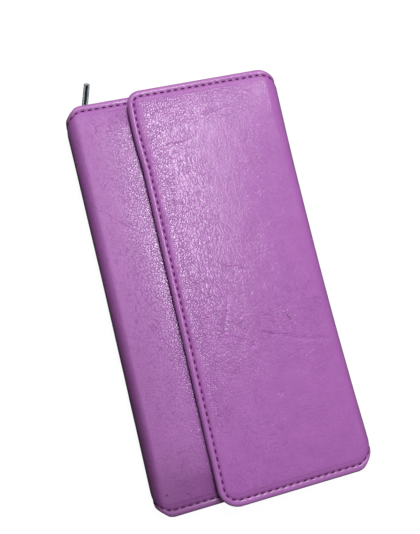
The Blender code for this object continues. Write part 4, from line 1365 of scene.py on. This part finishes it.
# The coin pocket. It is a shallow bag of the lining cloth under the front panel, with
# soft lower edges and a slit for the zip, whose lips are folded back and sewn.
coin_low = 0.0070
coin_rim = 0.0123
coin_wall = 0.0006
coin_box = (-0.0445, -0.0910, 0.0020, 0.0910)
slit = (-0.0423, -0.0870, -0.0347, 0.0901)
coin_corner = 0.0022

coin_cloth = cloth_material("coin_pocket_cloth", (62, 24, 60), (104, 48, 98), 1500.0, 0.5, "", 0.00007)


def coin_outline(inset):
    """The bag's outer edge, moved in."""
    return rounded_box(*coin_box, coin_corner, inset)


def slit_outline(grown):
    """The slit's edge, moved outwards."""
    return rounded_box(*slit, 0.0006, -grown)


floor_high = coin_low + coin_wall
bag_rings = [(coin_outline(inset), height) for inset, height in (
    (0.0, coin_rim), (0.0, coin_low + 0.0016), (0.0002, coin_low + 0.0008), (0.0006, coin_low + 0.0003),
    (0.0013, coin_low + 0.00005), (0.0020, coin_low))]
bag_rings += [(slit_outline(grown), height) for grown, height in (
    (0.0014, coin_low), (0.0011, coin_low + 0.00012), (0.0008, coin_low), (0.0003, coin_low + 0.00004),
    (0.0, coin_low + 0.00022), (0.0, floor_high - 0.0002), (0.0003, floor_high))]
bag_rings += [(coin_outline(coin_wall + inset), height) for inset, height in (
    (0.0012, floor_high), (0.0003, floor_high + 0.0003), (0.0, floor_high + 0.0010), (0.0, coin_rim))]
bag = loft("coin_pocket_cloth", bag_rings, coin_cloth, closed=True)
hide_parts("coin_pocket")
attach(bag, "front_panel")
around = slit_outline(0.0022)
lip = seam_line([(x, y, coin_low + 0.00006) for x, y in around + around[:1]], -1.0)
sewn = copies_on("coin_pocket_thread", [lip], small_stitch, thread)
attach(sewn, "front_panel")


# The zip. Two woven tapes lie over the slit, each with a corded inner edge that carries
# a row of cast metal teeth, and small clamps end the chain at both ends.
zip_x = -0.0385
tape_low = 0.0079
tape_high = 0.0084
tape_half = 0.0052
cord_x = 0.00205
tape_start = -0.0901
tape_end = 0.0901
chain_start = -0.0750
chain_end = 0.0880
chain_middle = 0.00815
tooth_pitch = 0.0030
first_tooth = 0.0022
cord_radius = 0.00062
tape_round = 0.00008
tape_rib = 0.00004
tape_rib_rate = 9000
tooth_half_high = 0.00080

metal, inside, outside = new_group(
    "cast_metal", [("Vector", "Vector"), ("Scale", "Float")],
    [("Height", "Float"), ("Scuffs", "Float"), ("Dirt", "Float")])
place = vector_node(metal, "SCALE", inside.outputs["Vector"], scale=inside.outputs["Scale"])
brushed = vector_node(metal, "MULTIPLY", place, (5.0, 0.6, 5.0))
scuffs = range_node(metal, noise_node(metal, place, 0.6, 4.0, 0.65), 0.42, 0.7)
dirt = range_node(metal, noise_node(metal, place, 0.25, 3.0), 0.45, 0.75)
metal.links.new(noise_node(metal, brushed, 1.0, 3.0, 0.7), outside.inputs["Height"])
metal.links.new(scuffs, outside.inputs["Scuffs"])
metal.links.new(dirt, outside.inputs["Dirt"])


def metal_material(name, dark, light, low, high):
    """Cast and plated metal, with fine brush lines and scuffs, in two tones."""
    made, tree, output = new_material(name)
    spot = add_node(tree, "ShaderNodeTexCoord").outputs["Object"]
    worn = add_node(tree, "ShaderNodeGroup", {"Vector": spot, "Scale": 1600.0}, node_tree=metal)
    shade = colour_node(tree, worn.outputs["Scuffs"], paint(*light), paint(*dark))
    rough = range_node(tree, worn.outputs["Dirt"], 0.0, 1.0, low, high)
    add_surface(tree, output, shade, rough, worn.outputs["Height"], 0.25, 0.00005, Metallic=1.0)
    return made


nickel = metal_material("nickel", (150, 150, 154), (200, 200, 204), 0.18, 0.34)
gunmetal = metal_material("gunmetal", (58, 61, 63), (98, 103, 105), 0.42, 0.55)
tape_cloth = cloth_material("zip_tape_cloth", (66, 24, 64), (108, 50, 102), 1700.0, 1.0, "", 0.00008)


def tape_section(side):
    """Half of the zip's section: a flat tape whose inner edge holds a round cord."""
    middle = (tape_low + tape_high) / 2
    outer = zip_x + side * tape_half
    inner = zip_x + side * (cord_x + 0.00045)
    flat = np.linspace(tape_half - 0.0004, cord_x + 0.0009, 5)
    under = [(zip_x + side * x, tape_low + tape_rib * math.sin(x * tape_rib_rate)) for x in flat]
    over = [(zip_x + side * x, tape_high - tape_rib * math.sin(x * tape_rib_rate)) for x in flat[::-1]]
    turns = [math.radians(-120 - 120 * step / 8) for step in range(9)]
    cord = [(inner + side * cord_radius * math.cos(turn), middle + cord_radius * math.sin(turn))
            for turn in turns]
    return [(outer, tape_low + tape_round), (outer - side * 0.0001, tape_low), *under, *cord, *over,
            (outer - side * 0.0001, tape_high), (outer, tape_high - tape_round)]


def tooth_shape():
    """One tooth across the chain from its cord, with a rounded head, a neck and a dimple on top."""
    shape = bmesh.new()
    half_high = tooth_half_high
    half_outline = [(0.00042, 0.0011), (0.00052, 0.0004), (0.00040, -0.0002), (0.00058, -0.0007),
                    (0.00034, -0.00105)]
    outline = [(-0.00042, 0.0011), *half_outline, *((-x, y) for x, y in half_outline[:0:-1])]
    rings = bridge(shape, [
        [(x * keep, y * (0.94 if keep < 1 else 1), z) for x, y in outline]
        for keep, z in ((0.80, -half_high), (1.0, -half_high * 0.72), (1.0, half_high * 0.72),
                        (0.80, half_high))], capped=False)
    for ring, flip in ((rings[0], True), (rings[-1], False)):
        middle = shape.verts.new((0, -0.0003, (-half_high if flip else half_high) * 0.86))
        for k in range(len(outline)):
            face = (ring[k], ring[(k + 1) % len(outline)], middle)
            shape.faces.new(face[::-1] if flip else face)
    mesh = smooth_mesh("tooth", shape)
    mesh.shade_flat()
    return mesh


tape_rows = [tape_start, tape_start + 0.0003, *np.linspace(tape_start + 0.006, tape_end - 0.006, 30),
             tape_end - 0.0003, tape_end]
for name, side, offset in (("left", -1, first_tooth), ("right", 1, first_tooth + tooth_pitch / 2)):
    section = tape_section(side)
    mesh = bridged("tape", [[(x, y, z) for x, z in section] for y in tape_rows], 50)
    tape = add_object(f"zip_tape_{name}_cloth", mesh, tape_cloth)
    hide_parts("zip_tape_" + name)
    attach(tape, "front_panel")
    x = zip_x + side * (cord_x - 0.00055)
    line = [(x, chain_start, chain_middle), (x, chain_end, chain_middle)]
    count = int((chain_end - chain_start - offset) / tooth_pitch)
    tooth = bpy.data.objects.new("tooth_" + name, tooth_shape())
    tooth.data.transform(Matrix.Rotation(0.0 if side > 0 else math.pi, 4, "Z"))
    bpy.context.scene.collection.objects.link(tooth)
    up = np.tile((0.0, 0.0, 1.0), (2, 1))
    teeth = copies_on(f"zip_teeth_{name}", [(line, up, count, tooth_pitch, offset)], tooth, nickel)
    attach(teeth, "front_panel")
    bpy.data.objects.remove(tooth)
bpy.data.objects.remove(stitch)
bpy.data.objects.remove(small_stitch)


# The zip's stops. They are small metal clamps pinched over the cords past the last teeth,
# two at the top and one wide one at the bottom.
stop_low = 0.0087
stop_high = 0.0095
clamp_corner = 0.0003
clamp_cut = 0.00018
clamp_groove = 0.0001
clamp_near = 0.0016
clamp_far = 0.0032
top_clamp_y = (0.0893, 0.0903)
bottom_clamp_y = (-0.0770, -0.0760)


def clamp(name, low_x, high_x, low_y, high_y):
    """A pinched metal clamp with rounded edges and a shallow dish pressed in its top."""
    rings = [(rounded_box(low_x, low_y, high_x, high_y, clamp_corner, inset, 3), height)
             for inset, height in ((0.00015, stop_low), (0.0, stop_low + clamp_cut),
                                   (0.0, stop_high - clamp_cut), (0.00006, stop_high - 0.00006),
                                   (0.00018, stop_high), (0.00030, stop_high - clamp_groove))]
    piece = loft(name, rings, nickel)
    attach(piece, "front_panel")
    return piece


for name, side in (("left", -1), ("right", 1)):
    low_x, high_x = sorted((zip_x + side * clamp_near, zip_x + side * clamp_far))
    piece = clamp(f"zip_top_clamp_{name}", low_x, high_x, *top_clamp_y)
    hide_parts("zip_top_stop_" + name)
piece = clamp("zip_bottom_clamp", zip_x - clamp_far, zip_x + clamp_far, *bottom_clamp_y)
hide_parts("zip_bottom_stop")


# The zip slider. It is cast in one piece, two shield-shaped plates joined by a wedge, and
# an arched bridge under its outer plate holds the pull's ring.
slider_low = 0.00625
slider_high = 0.01005
slider_plate = 0.0008
slider_start = 0.0785
slider_end = 0.0880
slider_half = 0.0034
bridge_low = 0.00435
bridge_half = 0.0008
swivel_y = 0.0869
wedge_half = 0.0003
wedge_tip = 0.0858
wedge_shoulder = 0.0864
wedge_back = 0.0877
plate_cut = 0.0002
bar_half = 0.00035
bar_bend = 0.0008


def slider_outline(inset):
    """A shield shape: wide and round at the leading end, narrower at the other."""
    spots = []
    front, back = slider_end - inset, slider_start + inset
    wide, narrow = slider_half - inset, slider_half * 0.74 - inset
    for x, y, radius, first in ((wide, front, 0.0014, 0), (-wide, front, 0.0014, 90),
                                (-narrow, back, 0.0008, 180), (narrow, back, 0.0008, 270)):
        radius = max(radius - inset, 0.0001)
        centre_y = y - radius if y == front else y + radius
        spots += corner_arc(zip_x + x - math.copysign(radius, x), centre_y, radius, first)
    return spots


def rounded_stack(outline, low, high, cut):
    """Rings of a plate with rounded upper and lower edges."""
    turns = [math.pi / 2 * step / 3 for step in range(4)]
    edge = [(outline(cut * (1 - math.sin(turn))), cut * (1 - math.cos(turn))) for turn in turns]
    lower = [(ring, low + rise) for ring, rise in edge]
    upper = [(ring, high - rise) for ring, rise in edge[::-1]]
    return lower + upper


def join_into(name, pieces, finish):
    """Join finished shells into one piece."""
    shape = bmesh.new()
    for part in pieces:
        shape.from_mesh(part.data)
        bpy.data.objects.remove(part)
    mesh = shape_mesh(name, shape)
    mesh.set_sharp_from_angle(angle=math.radians(40))
    return add_object(name, mesh, finish)


parts = [loft("plate", rounded_stack(slider_outline, low, low + slider_plate, plate_cut), nickel)
         for low in (slider_low, slider_high - slider_plate)]
wedge = [(zip_x + wedge_half, wedge_back), (zip_x + wedge_half, wedge_shoulder), (zip_x, wedge_tip),
         (zip_x - wedge_half, wedge_shoulder), (zip_x - wedge_half, wedge_back)]
parts.append(loft("wedge", [(wedge, slider_low + 0.0004), (wedge, slider_high - 0.0004)], nickel))


def bridge_path():
    """The bridge's centre line from one leg to the other, as (y, z)."""
    start, end = slider_start + 0.0011, slider_end - 0.0011
    top, bar = slider_low + 0.0004, bridge_low + bar_half
    bend = [(bar_bend * (1 - math.cos(t)), bar + bar_bend * (1 - math.sin(t)))
            for t in np.linspace(0, math.pi / 2, 6)]
    return [(start, top), *((start + run, z) for run, z in bend),
            *((end - run, z) for run, z in bend[::-1]), (end, top)]


def swept(name, line, section, finish):
    """A closed tube along a line in a plane across X, from its section."""
    loops = []
    for k, spot in enumerate(line):
        behind, beyond = line[max(k - 1, 0)], line[min(k + 1, len(line) - 1)]
        ahead = (Vector(beyond) - Vector(behind)).normalized()
        side = Vector((1.0, 0.0, 0.0))
        rise = side.cross(ahead).normalized()
        loops.append([Vector(spot) + side * u + rise * v for u, v in section])
    return add_object(name, bridged(name, loops), finish)


bar_section = rounded_box(-bridge_half, -bar_half, bridge_half, bar_half, 0.0002, 0.0, 3)
parts.append(swept("bridge", [(zip_x, y, z) for y, z in bridge_path()], bar_section, nickel))
slider = join_into("slider_body", parts, nickel)
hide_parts("zip_slider")
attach(slider, "zip_slider")


# The pull. An oval wire ring hangs on the slider's bridge, and a flat gunmetal tab with a
# long slot hooks on it. The tab's tip is all of the zip that shows on the closed wallet.
ring_middle = 0.0053
ring_wire = 0.00042
ring_bend = 0.0020
knee = Vector((-0.0412, 0.0930))
pivot = Vector((zip_x, swivel_y))
tip = Vector((-0.0362, 0.1086))
ring_flat = 0.00036
tab_half = 0.0014
tab_round = 0.00085
tab_low = 0.00486
tab_high = 0.00574
tab_cut = 0.00022
slot_half = 0.00035
slot_start = 0.0030
slot_end = 0.0015
eye_run = 0.0010
strap_turn = 0.0010
strap_half_width = 0.0008
strap_half_thickness = 0.0002


def stadium(start, end, radius, steps=12):
    """A long round-ended loop about two centres."""
    along = (end - start).normalized()
    heading = math.atan2(along.y, along.x)
    spots = []
    for centre, first in ((end, heading - math.pi / 2), (start, heading + math.pi / 2)):
        for step in range(steps + 1):
            turn = first + math.pi * step / steps
            spots.append(centre + radius * Vector((math.cos(turn), math.sin(turn))))
    return spots


def wire_loop(name, centre_line, height, radius, flat, finish):
    """A round wire bent into a closed flat loop."""
    loops = []
    for k, centre in enumerate(centre_line):
        ahead = (centre_line[(k + 1) % len(centre_line)] - centre_line[k - 1]).normalized()
        out = Vector((ahead.y, -ahead.x))
        loops.append([(*(centre + out * radius * math.cos(t)), height + flat * math.sin(t))
                      for t in np.linspace(0, 2 * math.pi, 11)[:-1]])
    return add_object(name, bridged(name, loops, closed=True), finish)


ring = wire_loop("pull_ring_wire", stadium(pivot, knee, ring_bend), ring_middle, ring_wire, ring_flat,
                 gunmetal)
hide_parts("pull_ring")
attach(ring, "pull_ring")

along = (tip - knee).normalized()
across = Vector((along.y, -along.x))
eye = knee + along * ring_bend
root = eye + along * eye_run


def tab_loop(low, high, aside, radius):
    """A long loop round the tab's middle line, from four arcs about places beside it."""
    spots = []
    for centre, side, first in ((high, 1, 0), (high, -1, 90), (low, -1, 180), (low, 1, 270)):
        spots += [centre + across * side * aside + across * u + along * v
                  for u, v in corner_arc(0, 0, radius, first)]
    return spots


def tab_outline(inset):
    """The tab's edge, round at both ends, moved in."""
    return tab_loop(root + along * tab_round, tip - along * tab_round, tab_half - tab_round,
                    tab_round - inset)


def tab_slot(grown):
    """The slot's edge, moved outwards, with as many points as the tab's."""
    return tab_loop(root + along * slot_start, tip - along * slot_end, 0.0, slot_half + grown)


def slot_share(spot):
    """A place's distance from the slot's middle line, as a share of the slot's half width."""
    flat = Vector((spot.x, spot.y)) - root
    ahead = min(max(flat.dot(along), slot_start), (tip - root).length - slot_end)
    return (flat - along * ahead).length / (slot_half + 0.00012)


rings = [(tab_outline(tab_cut), tab_low), (tab_outline(tab_cut * 0.3), tab_low + tab_cut * 0.3),
         (tab_outline(0.0), tab_low + tab_cut), (tab_outline(0.0), tab_high - tab_cut),
         (tab_outline(tab_cut * 0.3), tab_high - tab_cut * 0.3), (tab_outline(tab_cut), tab_high),
         (tab_slot(0.00020), tab_high), (tab_slot(0.00006), tab_high - 0.00008),
         (tab_slot(0.0), tab_high - 0.00024), (tab_slot(0.0), tab_high - 0.00060)]
plate = loft("plate", rings, gunmetal)
for face in plate.data.polygons:
    corners = [plate.data.vertices[k].co.z for k in face.vertices]
    inside_tab = face.center.z < tab_high - 0.00005 and min(corners) > tab_low + 0.0002
    upward = face.normal.z > -0.5 and len(corners) >= 4
    face.material_index = int(inside_tab and upward and slot_share(face.center) < 1.0)


def hook_strap():
    """A strap bent round the ring, as wide as the tab's neck."""
    wide = Vector((across.x, across.y, 0)) * strap_half_width
    loops = []
    for step in range(15):
        turn = math.radians(-8 + 346 * step / 14)
        out = Vector((along.x * math.cos(turn), along.y * math.cos(turn), math.sin(turn)))
        spot = Vector((eye.x, eye.y, ring_middle)) + out * strap_turn
        loops.append([spot + wide * u + out * v * strap_half_thickness
                      for u, v in ((-1, -0.6), (-0.85, -1), (0.85, -1), (1, -0.6), (1, 0.6),
                                   (0.85, 1), (-0.85, 1), (-1, 0.6))])
    return add_object("hook", bridged("hook", loops), gunmetal)


tab = join_into("pull_tab_metal", [plate, hook_strap()], gunmetal)
tab.data.materials.append(metal_material("slot_shadow", (20, 21, 22), (34, 36, 37), 0.6, 0.7))
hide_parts("pull_tab")
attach(tab, "pull_tab")


# The magnetic snaps. Each is a nickel dish on the front panel and a nickel cap with a low
# stud on the flap's inside, and the closed flap hides all four.
snap_x = -0.0110
snap_y = 0.0660


def turned_metal(name, x, y, section, steps=48):
    """A round piece from its section, given as (radius, height) from outside to the axis."""
    turns = [2 * math.pi * k / steps for k in range(steps)]
    loops = [[(x + radius * math.cos(turn), y + radius * math.sin(turn), z) for turn in turns]
             for radius, z in section]
    return add_object(name, bridged(name, loops, 55), nickel)


socket_section = [(0.0067, 0.0176), (0.0069, 0.01765), (0.0070, 0.01785), (0.0070, 0.01830),
                  (0.0069, 0.01850), (0.0067, 0.0186), (0.0058, 0.0186), (0.0056, 0.01852),
                  (0.0054, 0.0186), (0.0046, 0.0186), (0.0043, 0.0185), (0.0042, 0.0183),
                  (0.0042, 0.0180), (0.0040, 0.0179), (0.0019, 0.0179), (0.0017, 0.01785),
                  (0.0016, 0.0177), (0.0002, 0.0177)]
stud_section = [(0.0067, 0.0199), (0.0069, 0.01985), (0.0070, 0.01965), (0.0070, 0.01920),
                (0.0069, 0.01900), (0.0067, 0.0189), (0.0058, 0.0189), (0.0056, 0.01898),
                (0.0054, 0.0189), (0.0029, 0.0189), (0.0026, 0.0188), (0.0026, 0.0184),
                (0.0025, 0.01825), (0.0022, 0.0182), (0.0012, 0.0182), (0.0010, 0.01835),
                (0.0002, 0.01835)]
for place, y in (("lower", -snap_y), ("upper", snap_y)):
    dish = turned_metal(place + "_snap_dish", snap_x, y, socket_section)
    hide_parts(place + "_snap_socket")
    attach(dish, "front_panel")
    cap = turned_metal(place + "_snap_cap", snap_x, y, stud_section)
    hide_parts(place + "_snap_stud")
    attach(cap, "flap")


# The hidden stiffeners. Grey board, white foam and steel washers stay as the drawing has
# them, and get the look of cut board, open foam and dull steel.
def plain_material(name, dark, light, scale, depth, low, high):
    """A rough material with fibres or cells, in two tones."""
    made, tree, output = new_material(name)
    spot = add_node(tree, "ShaderNodeTexCoord").outputs["Object"]
    fibres = noise_node(tree, spot, scale, 4.0, 0.7)
    cells = add_node(tree, "ShaderNodeTexVoronoi", {"Vector": spot, "Scale": scale * 1.5})
    height = scaled(tree, cells.outputs["Distance"], 0.5, fibres)
    add_surface(tree, output, colour_node(tree, fibres, paint(*dark), paint(*light)),
                range_node(tree, fibres, 0.2, 0.8, low, high), height, 0.6, depth)
    return made


board_finish = plain_material("cut_board", (128, 120, 110), (172, 164, 152), 900.0, 0.0001, 0.8, 0.95)
foam_finish = plain_material("open_foam", (208, 204, 194), (236, 232, 224), 1500.0, 0.0003, 0.9, 1.0)
steel = metal_material("dull_steel", (120, 120, 122), (160, 160, 162), 0.35, 0.5)
hidden = {"_board": board_finish, "_foam": foam_finish, "_washer": steel}
for name, node in nodes.items():
    for ending, finish in hidden.items():
        if name.endswith(ending):
            node.material_slots[0].material = finish
